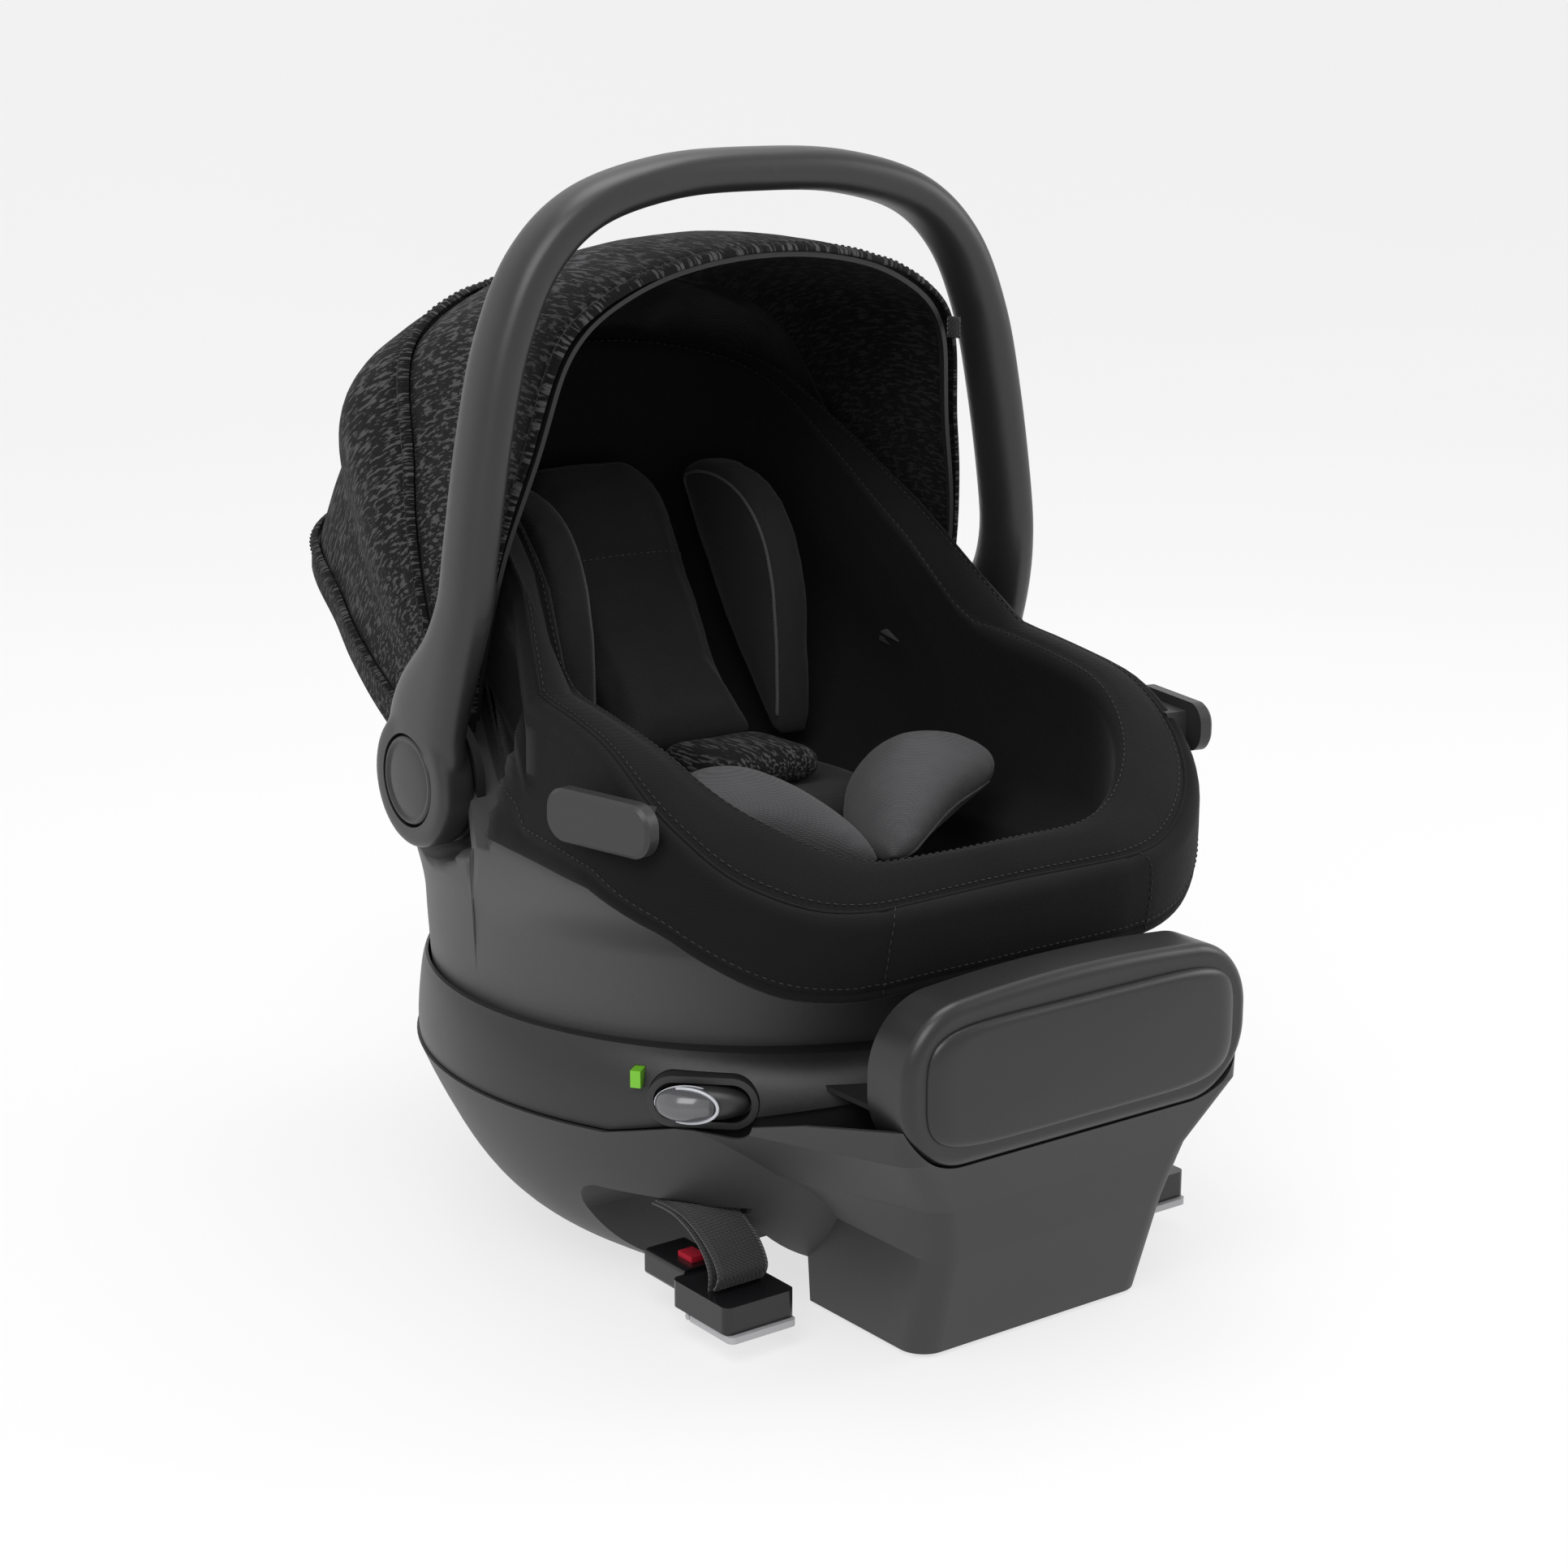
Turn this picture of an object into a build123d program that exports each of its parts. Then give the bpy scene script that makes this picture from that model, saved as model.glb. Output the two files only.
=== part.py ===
"""Rear-facing infant car seat on a rotating base, in millimetres.

Row frame: +Z up, -Y towards the baby's feet, X across. The origin is on the turntable's axis at the
level of the non-slip pads. The left side is the -X side.
"""
from build123d import *
import os
from math import cos, sin, radians

# ---- driving dimensions -------------------------------------------------------------------------
WALL = 3.0                      # wall of the base mouldings
GAP = 0.4                       # assembly clearance between fixed pieces
RUN = 0.6                       # clearance between pieces that move past each other

PAD_HEIGHT = 2.0                # non-slip pads under the base
SEAM_REAR = 117.0               # height of the seam between the two base mouldings, at the rear
SEAM_FRONT = 158.0              # and at the front
BASE_HALF_WIDTH = 221.0         # base at that seam
BASE_HALF_LENGTH = 230.0
BASE_CENTRE_Y = -15.0
DRUM_R = 203.0                  # round foot of the seat shell, which sits in the base's collar
COLLAR_GAP = 4.5                # between that foot and the collar
COLLAR_TOP = 166.0
TURNTABLE_BOTTOM = 134.0
TURNTABLE_THICK = 14.0
SPINDLE_R = 12.0
BEARING_FIT = 0.05              # radial clearance of every pin in its bore

BAR_HALF_WIDTH = 125.0          # anti-rebound bar
BAR_BACK = -268.0
BAR_FRONT = -302.0
BAR_BOTTOM = 127.0
BAR_TOP = 224.0
BAR_CORNER = 42.0
PANEL_RISE = 4.0                # pad on the bar's front face
KEEL_HALF = 85.0                # foot of the base, under the bar
KEEL_FRONT = -265.0
TUNNEL_FRONT = -166.0           # belt path through the base
TUNNEL_REAR = -74.0
TUNNEL_TOP = 74.0

SHELL_WALL = 4.0                # seat shell
COVER_THICK = 5.0               # fabric cover
RIM_FRONT = 256.0               # top of the cover at the foot end
HUB_Y, HUB_Z = 50.0, 290.0      # handle pivot, and canopy pivot
HUB_R = 41.0
HUB_OUTER = 221.0               # outer face of the handle's hub
HUB_THICK = 24.0
CAP_R = 27.0                    # round button in the hub
CAP_THICK = 9.0
CAP_TRAVEL = 3.0
PIVOT_R = 9.0
HANDLE_TUBE = (13.0, 20.0)      # half thickness and half width of the handle's oval section
HANDLE_Y = 6.0                  # plane of the handle's arch
HANDLE_TOP = 651.0

CANOPY_R = 318.0                # crown of the canopy, from the pivot axis
CANOPY_STEP = 4.0               # each panel nests this much inside the one behind it
CANOPY_SKIN = 1.6
BOW_HALF = 1.5                  # half thickness of a canopy bow
REAR_SEAM = 24.0                # canopy seams, in degrees up from +Y about the pivot
MID_SEAM = 64.0
FRONT_SEAM = 103.0

os.makedirs("parts", exist_ok=True)
parts = {}


def keep(name, shape):
    parts[name] = shape


def keep_pair(name, shape):
    """Keep a shape made on the left, and its mirror image on the right."""
    parts[name + "_left"] = shape
    parts[name + "_right"] = mirror(shape, about=Plane.YZ)


def pair(shape):
    return shape + mirror(shape, about=Plane.YZ)


def rod_x(radius, x0, x1, y, z):
    return Pos((x0 + x1) / 2, y, z) * Rot(0, 90, 0) * Cylinder(radius, abs(x1 - x0))


def disc(radius, z0, z1, x=0.0, y=0.0):
    return Pos(x, y, (z0 + z1) / 2) * Cylinder(radius, z1 - z0)


def block(x0, x1, y0, y1, z0, z1):
    centre = Pos((x0 + x1) / 2, (y0 + y1) / 2, (z0 + z1) / 2)
    return centre * Box(abs(x1 - x0), abs(y1 - y0), abs(z1 - z0))


def side_profile(points, half_width=320.0):
    """A closed outline in the YZ plane, extruded both ways across the object."""
    face = make_face(Polyline(*[(0, y, z) for y, z in points], close=True))
    return extrude(face, half_width, dir=(1, 0, 0), both=True)


def rounded_plan(z, half_width, front, rear, front_r, rear_r):
    """A plan outline at height z, symmetric in X, with its own front and rear corner radii."""
    k = 1 - cos(radians(45))
    w, f, b = half_width, front, rear
    lines = Polyline((-w + front_r, f, z), (w - front_r, f, z))
    lines += ThreePointArc((w - front_r, f, z), (w - k * front_r, f + k * front_r, z), (w, f + front_r, z))
    lines += Polyline((w, f + front_r, z), (w, b - rear_r, z))
    lines += ThreePointArc((w, b - rear_r, z), (w - k * rear_r, b - k * rear_r, z), (w - rear_r, b, z))
    lines += Polyline((w - rear_r, b, z), (-w + rear_r, b, z))
    lines += ThreePointArc((-w + rear_r, b, z), (-w + k * rear_r, b - k * rear_r, z), (-w, b - rear_r, z))
    lines += Polyline((-w, b - rear_r, z), (-w, f + front_r, z))
    lines += ThreePointArc((-w, f + front_r, z), (-w + k * front_r, f + k * front_r, z), (-w + front_r, f, z))
    return make_face(lines)


# ---- base: outer shape --------------------------------------------------------------------------
# Height, then the bowl's size there as a share of its size at the seam.
BOWL = [(PAD_HEIGHT, 0.59), (20.0, 0.715), (52.0, 0.85), (90.0, 0.945), (SEAM_REAR, 1.0), (170.0, 1.015)]
# Height, front half width, front, rear half width and rear of the block under the bar.
KEEL = [
    (PAD_HEIGHT, KEEL_HALF, KEEL_FRONT, KEEL_HALF + 2, -60.0),
    (64.0, KEEL_HALF + 3, -283.0, KEEL_HALF + 6, -80.0),
    (98.0, KEEL_HALF + 8, -291.0, KEEL_HALF + 62, -140.0),
    (134.0, BAR_HALF_WIDTH - 5, BAR_FRONT + 1, KEEL_HALF + 105, -140.0),
    (170.0, BAR_HALF_WIDTH - 3, BAR_FRONT + 1, KEEL_HALF + 106, -140.0),
]
KEEL_CORNER = 16.0


def bowl(inset=0.0, drop=0.0):
    """The rounded part of the lower body."""
    sections = []
    for i, (z, share) in enumerate(BOWL):
        level = z + (drop if i == 0 else 0.0)
        half_x, half_y = BASE_HALF_WIDTH * share - inset, BASE_HALF_LENGTH * share - inset
        sections.append(Pos(0, BASE_CENTRE_Y, level) * Ellipse(half_x, half_y))
    return loft(sections)


def keel(inset=0.0, drop=0.0):
    """The straight block under the anti-rebound bar."""
    sections = []
    for i, (z, half, front, rear_half, rear) in enumerate(KEEL):
        level = z + (drop if i == 0 else 0.0)
        corners = [(-half + inset, front + inset), (half - inset, front + inset),
                   (rear_half - inset, rear - inset), (-rear_half + inset, rear - inset)]
        outline = make_face(Polyline(*corners, close=True))
        sections.append(Pos(0, 0, level) * fillet(outline.vertices(), KEEL_CORNER - inset))
    return loft(sections, ruled=True)


def tunnel(grow=0.0):
    """The belt path: a slot right through the base, open below, with a rounded roof."""
    slot = block(-270, 270, TUNNEL_FRONT - grow, TUNNEL_REAR + grow, -10, TUNNEL_TOP + grow)
    return fillet(slot.edges().filter_by(Axis.X).group_by(Axis.Z)[-1], 22.0 + grow)


def above_seam(lift=0.0):
    """Everything above the seam between the base's two mouldings."""
    return side_profile(
        [(300, SEAM_REAR + lift), (-120, SEAM_REAR + lift), (-240, SEAM_FRONT - 12 + lift),
         (-330, SEAM_FRONT + lift), (-330, 400), (300, 400)])


def bar_envelope(grow=0.0):
    """The anti-rebound bar, extruded front to back."""
    half, low, high = BAR_HALF_WIDTH + grow, BAR_BOTTOM - grow, BAR_TOP + grow
    shoulder = high - 8
    outline = Polyline((-half, shoulder), (-half, low), (half, low), (half, shoulder))
    outline += ThreePointArc((half, shoulder), (0, high), (-half, shoulder))
    face = make_face(outline)
    face = fillet(face.vertices(), BAR_CORNER + grow)
    return Pos(0, BAR_BACK + grow, 0) * Rot(90, 0, 0) * extrude(face, BAR_BACK - BAR_FRONT + 2 * grow)


# ---- base: lower body ---------------------------------------------------------------------------
POST_PLACES = [(92, 92), (-92, 92), (122, -44), (-122, -44)]
FLOOR_TOP = TURNTABLE_BOTTOM - 3.2
FLOOR_BOTTOM = FLOOR_TOP - WALL
SCREW_R, SCREW_HEAD_R, SCREW_HEAD = 2.0, 4.0, 2.2
lower_outer = bowl() + keel() - tunnel()
lower_inner = bowl(WALL, WALL) + keel(WALL, WALL) - tunnel(WALL)
lower_body = lower_outer - lower_inner - above_seam() - bar_envelope(GAP)
for x, y in POST_PLACES:
    lower_body += disc(8.0, PAD_HEIGHT + WALL / 2, FLOOR_BOTTOM - GAP, x, y) & lower_outer
    lower_body -= disc(SCREW_R, FLOOR_BOTTOM - 18, FLOOR_BOTTOM + 5, x, y)

# ---- base: upper housing with the collar --------------------------------------------------------
COLLAR_BORE = DRUM_R + COLLAR_GAP
COLLAR = [
    (SEAM_REAR - 10, -5.0, BASE_CENTRE_Y), (132.0, -1.5, BASE_CENTRE_Y), (150.0, -3.5, BASE_CENTRE_Y + 1),
    (159.0, -6.0, BASE_CENTRE_Y + 4), (COLLAR_TOP, -9.6, BASE_CENTRE_Y + 8)]


def collar(inset=0.0):
    sections = []
    for z, change, y in COLLAR:
        half_x, half_y = BASE_HALF_WIDTH + change - inset, BASE_HALF_LENGTH + change - inset - (y - BASE_CENTRE_Y) / 2
        sections.append(Pos(0, y, z) * Ellipse(half_x, half_y))
    return loft(sections)


collar_outside = (collar() & above_seam(0.8)) + (collar(3.5) & block(-300, 300, -300, 300, 0, COLLAR_TOP - 8))
DECK_HALF = 108.0
DECK_TOP = 152.0
deck = block(-DECK_HALF, DECK_HALF, BAR_BACK + GAP, -200, DECK_TOP - WALL, DECK_TOP)
upper_housing = collar_outside - disc(COLLAR_BORE, FLOOR_TOP, 200) - disc(SPINDLE_R + 20, 0, 200)
upper_housing -= disc(COLLAR_BORE - 12, 0, FLOOR_BOTTOM)
upper_housing += deck - disc(COLLAR_BORE + 1, 100, 200)

# ---- base: rotate buttons -----------------------------------------------------------------------
BUTTON_ANGLE = 226.0            # place of the left button, about the turntable's axis
BUTTON_R = 222.0                # back of its pocket
BUTTON_Z = 142.0
BUTTON_HALF_LENGTH = 27.0
BUTTON_HALF_HEIGHT = 10.5
BEZEL_WIDTH = 4.5
BUTTON_TRAVEL = 6.0
button_place = Rot(0, 0, BUTTON_ANGLE) * Pos(BUTTON_R, 0, BUTTON_Z) * Rot(0, 90, 0)


def button_slab(grow, start, stop):
    """A stadium on the button's outline, facing out of the collar."""
    slot = SlotOverall(2 * (BUTTON_HALF_LENGTH + grow), 2 * (BUTTON_HALF_HEIGHT + grow), rotation=90)
    return button_place * Pos(0, 0, start) * extrude(slot, stop - start)


bezel = button_slab(BEZEL_WIDTH, GAP, 13.5) - button_slab(RUN, GAP + 2, 40)
button_start = GAP + 2 + RUN + BUTTON_TRAVEL
button = button_slab(0, button_start, button_start + 16)
pocket = pair(button_slab(BEZEL_WIDTH + GAP, 0, 60))
indicator_place = Rot(0, 0, BUTTON_ANGLE - 9.5)
INDICATOR_IN = BUTTON_R - 1
indicator = indicator_place * block(INDICATOR_IN, INDICATOR_IN + 12.5, -3, 3, 147, 157)
window = indicator_place * block(INDICATOR_IN - GAP, 260, -3 - GAP, 3 + GAP, 147 - GAP, 157 + GAP)
upper_housing = upper_housing - pocket - pair(window)
lower_body -= pocket

# ---- base: anti-rebound bar ---------------------------------------------------------------------
rebound_bar = bar_envelope()
rebound_bar = fillet(rebound_bar.faces().sort_by(Axis.Y)[0].outer_wire().edges(), 7.0)
panel_face = RectangleRounded(2 * BAR_HALF_WIDTH - 26, BAR_TOP - BAR_BOTTOM - 26, 30)
panel = Pos(0, BAR_FRONT, (BAR_TOP + BAR_BOTTOM) / 2 - 2) * Rot(90, 0, 0) * extrude(panel_face, PANEL_RISE)
rebound_panel = fillet(panel.faces().sort_by(Axis.Y)[0].outer_wire().edges(), 2.5)
keep("rebound_panel", rebound_panel)

# ---- base: pads, bearing, spindle, screws -------------------------------------------------------
PAD_PLACES = [(0, 0, 28), (-58, 66, 18), (58, 66, 18), (-52, -225, 18), (52, -225, 18)]
keep("grip_pads", Compound([disc(r, 0, PAD_HEIGHT, x, y) for x, y, r in PAD_PLACES]))
keep("bearing_ring", disc(172, FLOOR_TOP, TURNTABLE_BOTTOM - 0.2) - disc(150, 0, 200))
turntable_top = TURNTABLE_BOTTOM + TURNTABLE_THICK
spindle = disc(SPINDLE_R + 34, FLOOR_BOTTOM - 6, FLOOR_BOTTOM - GAP / 2)
spindle += disc(SPINDLE_R + 12, FLOOR_BOTTOM - 3, FLOOR_TOP)
spindle += disc(SPINDLE_R, FLOOR_BOTTOM, turntable_top - 5)
keep("spindle", spindle)
keep("spindle_nut", disc(SPINDLE_R + 6, turntable_top - 5, turntable_top - 2))
screw_heads = [disc(SCREW_HEAD_R, FLOOR_TOP, FLOOR_TOP + SCREW_HEAD, x, y) for x, y in POST_PLACES]
screw_shanks = [disc(SCREW_R - 0.1, FLOOR_BOTTOM - 14, FLOOR_TOP + 0.5, x, y) for x, y in POST_PLACES]
keep("housing_screws", Compound([head + shank for head, shank in zip(screw_heads, screw_shanks)]))
for x, y in POST_PLACES:
    upper_housing -= disc(SCREW_R + 0.2, FLOOR_BOTTOM - 5, FLOOR_TOP + 5, x, y)

# ---- base: lower anchor connectors, left side ---------------------------------------------------
ANCHOR_X = -150.0
ANCHOR_HALF = 24.0
WEB_HALF = 18.0
WEB_THICK = 2.4
WEB_Y = -180.0
WEB_TOP = 71.0                  # the strap turns here into the belt tunnel
WEB_END = -124.0
LEVER_PIN_R = 2.0
ADJUSTER = (-206.0, -152.0, 18.0, 34.0)        # y from, y to, z from, z to
CONNECTOR = (ADJUSTER[1] + GAP, -112.0, 20.0, 36.0)


def anchor_block(half, y0, y1, z0, z1):
    return block(ANCHOR_X - half, ANCHOR_X + half, y0, y1, z0, z1)


webbing = anchor_block(WEB_HALF, WEB_Y, WEB_Y + WEB_THICK, ADJUSTER[2] + 4, WEB_TOP)
webbing += anchor_block(WEB_HALF, WEB_Y, WEB_END, WEB_TOP - WEB_THICK, WEB_TOP)
adjuster = anchor_block(ANCHOR_HALF, *ADJUSTER)
adjuster = fillet(adjuster.edges().filter_by(Axis.Z), 5.0)
adjuster -= anchor_block(WEB_HALF + GAP, WEB_Y - GAP, WEB_Y + WEB_THICK + GAP, ADJUSTER[2] + 4 - GAP, 60)
lever = anchor_block(ANCHOR_HALF - 1, ADJUSTER[0] - 3, ADJUSTER[1] - 14, ADJUSTER[2] - 4.6, ADJUSTER[2] - RUN)
lever = fillet(lever.edges().filter_by(Axis.Z), 4.0)
lever += rod_x(LEVER_PIN_R, ANCHOR_X - ANCHOR_HALF + 1, ANCHOR_X + ANCHOR_HALF - 1, ADJUSTER[1] - 14.5,
               ADJUSTER[2] - RUN - LEVER_PIN_R)
connector = anchor_block(15, *CONNECTOR)
connector = fillet(connector.edges().filter_by(Axis.Y), 3.0)
connector -= anchor_block(6, CONNECTOR[1] - 16, CONNECTOR[1] + 5, 24, 32)
key_pocket = anchor_block(5 + GAP, CONNECTOR[0] + 6, CONNECTOR[0] + 20 + GAP, 29, 40)
connector -= key_pocket
release_key = anchor_block(5, CONNECTOR[0] + 6 + GAP, CONNECTOR[0] + 20, 32, 39)
lower_body -= pair(anchor_block(WEB_HALF + 1, WEB_Y - 2, WEB_END + 2, WEB_TOP - WEB_THICK - 1, WEB_TOP + 1))
keep_pair("anchor_webbing", webbing)
keep_pair("webbing_adjuster", adjuster)
keep_pair("adjuster_lever", lever)
keep_pair("anchor_connector", connector)
keep_pair("anchor_release_key", release_key)
keep("lower_body", lower_body)
keep("upper_housing", upper_housing)
keep_pair("rotate_bezel", bezel)
keep_pair("rotate_button", button)
keep_pair("rotate_indicator", indicator)
keep("rebound_bar", rebound_bar)

# ---- turntable ----------------------------------------------------------------------------------
turntable = disc(DRUM_R - 3, TURNTABLE_BOTTOM, turntable_top) - disc(SPINDLE_R + BEARING_FIT, 0, 300)
turntable -= disc(SPINDLE_R + 9, turntable_top - 5, 300)
DOCK_Y, DOCK_Z, DOCK_R = 118.0, 164.0, 5.0
for y in (-DOCK_Y, DOCK_Y):
    for x in (-62, 62):
        turntable += block(x - 5, x + 5, y - 10, y + 10, turntable_top - 1, DOCK_Z + 9)
    turntable -= rod_x(DOCK_R + 0.1, -70, 70, y, DOCK_Z)
keep("turntable", turntable)
keep("dock_bar_front", rod_x(DOCK_R, -68, 68, -DOCK_Y, DOCK_Z))
keep("dock_bar_rear", rod_x(DOCK_R, -68, 68, DOCK_Y, DOCK_Z))

# ---- seat shell ---------------------------------------------------------------------------------
SHELL_FOOT = turntable_top + RUN
# Height, half width, front, rear, front corner and rear corner of the shell's outside.
HULL = [
    (SHELL_FOOT, DRUM_R, -DRUM_R, DRUM_R, DRUM_R - 5, DRUM_R - 5),
    (215.0, DRUM_R + 4, -208.0, 208.0, 198.0, DRUM_R + 3),
    (250.0, DRUM_R + 8, -226.0, 216.0, 150.0, 203.0),
    (278.0, DRUM_R + 3, -236.0, 228.0, 118.0, 200.0),
    (310.0, DRUM_R - 7, -234.0, 254.0, 112.0, 190.0),
    (350.0, DRUM_R - 23, -226.0, 292.0, 110.0, 172.0),
    (400.0, 154.0, -195.0, 322.0, 110.0, 148.0),
    (460.0, 142.0, -155.0, 294.0, 110.0, 134.0),
    (525.0, 130.0, -110.0, 244.0, 100.0, 120.0),
]
# The same for the hollow that the baby lies in, inside the cover.
BOWL_IN = [
    (210.0, 80.0, -70.0, 58.0, 50.0, 50.0),
    (234.0, 115.0, -182.0, 78.0, 80.0, 66.0),
    (262.0, 146.0, -212.0, 104.0, 90.0, 84.0),
    (310.0, 156.0, -208.0, 146.0, 96.0, 100.0),
    (360.0, 146.0, -196.0, 188.0, 96.0, 104.0),
    (420.0, 128.0, -165.0, 226.0, 90.0, 104.0),
    (525.0, 117.0, -100.0, 229.0, 80.0, 94.0),
]


def skin(table, grow, ends=0.0):
    """A loft through one of the tables above, grown sideways, with its end levels pushed out."""
    sections = []
    last = len(table) - 1
    for i, (z, half, front, rear, front_r, rear_r) in enumerate(table):
        level = z + (ends if i == last else 0.0) - (grow if i == 0 and table is BOWL_IN else 0.0)
        sections.append(rounded_plan(level, half + grow, front - grow, rear + grow, front_r + grow, rear_r + grow))
    return loft(sections, ruled=True)


# The cover's top line in side view, from the foot end to the head end.
RIM = [(-270, RIM_FRONT - 4), (-243, RIM_FRONT), (-214, 274), (-178, 303), (-120, 335), (-71, 345), (-22, 353),
       (34, 408), (100, 458), (186, 505), (250, 519), (360, 525)]


def above_rim(lift=0.0):
    line = Spline(*[(0, y, z + lift) for y, z in RIM])
    rest = Polyline(line @ 1, (0, 360, 700), (0, -270, 700), line @ 0)
    return extrude(make_face(line + rest), 320, dir=(1, 0, 0), both=True)


cavity = skin(BOWL_IN, 0, 30)
cavity_cover = skin(BOWL_IN, COVER_THICK, 31)
cavity_shell = skin(BOWL_IN, COVER_THICK + GAP, 32)
cavity_wall = skin(BOWL_IN, COVER_THICK + GAP + SHELL_WALL, 33)
hull = skin(HULL, 0)
hull_cover = skin(HULL, COVER_THICK + GAP)
hull_gap = skin(HULL, GAP, 1)
hull_in = skin(HULL, -SHELL_WALL, 2)

# Room beside the shell for the canopy's arms and for the handle's hubs.
ARM_IN = 168.0
arm_room = side_profile([(80, 262), (4, 262), (-12, 330), (-40, 420), (-40, 640), (400, 640), (400, 322), (130, 285),
                         (98, 262)])
arm_room -= block(-ARM_IN, ARM_IN, -400, 400, 0, 700)
hub_room = rod_x(HUB_R + 3, -260, 260, HUB_Y, HUB_Z) - block(-ARM_IN, ARM_IN, -400, 400, 0, 700)
rear_room = side_profile([(60, 325), (60, 640), (400, 640), (400, 325)])
rear_room -= block(-ARM_IN + 6, ARM_IN - 6, -400, 400, 0, 700)
side_room = arm_room + hub_room + rear_room
wall_keeper = side_profile([(104, 240), (-24, 240), (-60, 420), (-60, 640), (400, 640), (400, 302), (140, 270)])
wall_keeper -= block(-(ARM_IN - 6 - SHELL_WALL), ARM_IN - 6 - SHELL_WALL, -400, 400, 0, 700)

hollow = hull_in - cavity_wall - above_rim(-COVER_THICK - SHELL_WALL) - wall_keeper
seat_shell = hull - above_rim(-COVER_THICK - GAP) - cavity_shell - hollow - side_room
keep("seat_shell", seat_shell)

# Lower edge of the cover, outside the shell, in side view.
cover_edge = side_profile([(-300, 206), (-238, 211), (-215, 232), (-190, 252), (-130, 268), (0, 270), (0, 330),
                           (40, 388), (100, 432), (190, 476), (360, 500), (360, 0), (-300, 0)])
swing_room = disc(330, 0, BAR_TOP + 4) - disc(262, 0, BAR_TOP + 4)
swing_room = disc(330, 0, BAR_TOP + 4) - disc(262, 0, BAR_TOP + 4)
outside_wrap = hull_cover - cover_edge - block(-400, 400, 2, 400, 0, 700)
rim_top = (hull - block(-400, 400, -400, 1, 0, 700)) & above_rim(-COVER_THICK)
lining = cavity_cover - block(-400, 400, -400, 400, 520, 700)
shell_space = hull_gap - cavity_cover - above_rim(-COVER_THICK)
seat_cover = outside_wrap + rim_top + lining - above_rim(0) - shell_space - cavity - side_room - swing_room

# ---- carrier: belt guides on the sides of the shell ---------------------------------------------
GUIDE = (9.0, 78.0, 30.0)
guide_place = Pos(-211, -144, 305) * Rot(0, 0, 12)
guide = Box(*GUIDE)
guide = fillet(guide.edges().filter_by(Axis.X), 13.0)
guide = guide_place * chamfer(guide.faces().sort_by(Axis.X)[0].edges(), 2.0)
bracket = (guide_place * Pos(GUIDE[0] / 2 + 12, 0, 0) * Box(24 - GAP, 46, 18)) - hull_gap
seat_cover -= pair(guide_place * Pos(GUIDE[0] / 2 + 12, 0, 0) * Box(24, 47, 19))
keep_pair("belt_guide", guide)
keep_pair("belt_guide_bracket", bracket.solids().sort_by(Axis.X)[0])
keep("seat_cover", seat_cover)

# ---- carrier: release trigger and docking frame -------------------------------------------------
seat_shell -= block(-33, 33, 260, 340, 338, 376)
keep("seat_shell", seat_shell)
trigger = block(-32, 32, 281, 293, 340, 364)
keep("release_trigger", fillet(trigger.edges().filter_by(Axis.Y), 6.0))
FRAME_Z = 176.0
dock_frame = block(-50, 50, -DOCK_Y - 12, DOCK_Y + 12, FRAME_Z, FRAME_Z + 8)
dock_frame += block(-40, 40, -50, 40, FRAME_Z + 7, 210 - COVER_THICK - SHELL_WALL - 2 * GAP)
for y in (-DOCK_Y, DOCK_Y):
    dock_frame += block(-40, 40, y - 12, y + 12, DOCK_Z - 6, FRAME_Z + 1)
    dock_frame -= rod_x(DOCK_R + 0.5, -60, 60, y, DOCK_Z) + block(-60, 60, y - 5.5, y + 5.5, 100, DOCK_Z)
keep("dock_frame", dock_frame)

# ---- handle and its hubs ------------------------------------------------------------------------
BLADE_IN = HUB_OUTER - HUB_THICK
hub_mount = rod_x(HUB_R - 1, -BLADE_IN + RUN, -BLADE_IN + 6, HUB_Y, HUB_Z)
hub_mount += rod_x(PIVOT_R, -HUB_OUTER + CAP_THICK + CAP_TRAVEL + 2, -ARM_IN - GAP, HUB_Y, HUB_Z)
keep_pair("handle_mount", hub_mount)
# Stations of one handle arm: height, x and y of its centre, thickness and width.
ARM = [(HUB_Z, -HUB_OUTER + HUB_THICK / 2, HUB_Y, HUB_THICK, 2 * HUB_R - 6), (332.0, -209.0, 39.0, 25.0, 70.0),
       (364.0, -207.0, 19.0, 25.5, 48.0), (400.0, -203.0, HANDLE_Y, 26.0, 40.0)]
blade = loft([Pos(x, y, z) * RectangleRounded(t, w, 10.5) for z, x, y, t, w in ARM])
blade += rod_x(HUB_R, -HUB_OUTER, -BLADE_IN, HUB_Y, HUB_Z)
blade -= rod_x(PIVOT_R + BEARING_FIT, -260, -100, HUB_Y, HUB_Z)
blade -= rod_x(CAP_R + GAP, -260, -HUB_OUTER + CAP_THICK + CAP_TRAVEL, HUB_Y, HUB_Z)
blade -= block(-BLADE_IN, -100, -100, 200, 200, HUB_Z + HUB_R + 2)
# Centreline of the left half of the arch, from the arm's top to the crown: x and z.
ARCH = [(-203, 398), (-199, 432), (-189, 492), (-176, 545), (-154, 590), (-118, 620), (-62, 635)]
crown_z = HANDLE_TOP - HANDLE_TUBE[0]
arch_points = [(x, HANDLE_Y, z) for x, z in ARCH] + [(0, HANDLE_Y, crown_z)]
arch_points += [(-x, HANDLE_Y, z) for x, z in reversed(ARCH)]
arch_path = Spline(*arch_points, tangents=[(4, 0, 34), (4, 0, -34)])
section = Plane(origin=arch_path @ 0, z_dir=arch_path % 0, x_dir=(0, 1, 0))
arch = sweep(section * RectangleRounded(2 * HANDLE_TUBE[1], 2 * HANDLE_TUBE[0], 12.5), path=arch_path)
keep("handle_arch", arch + blade + mirror(blade, about=Plane.YZ))
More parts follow.
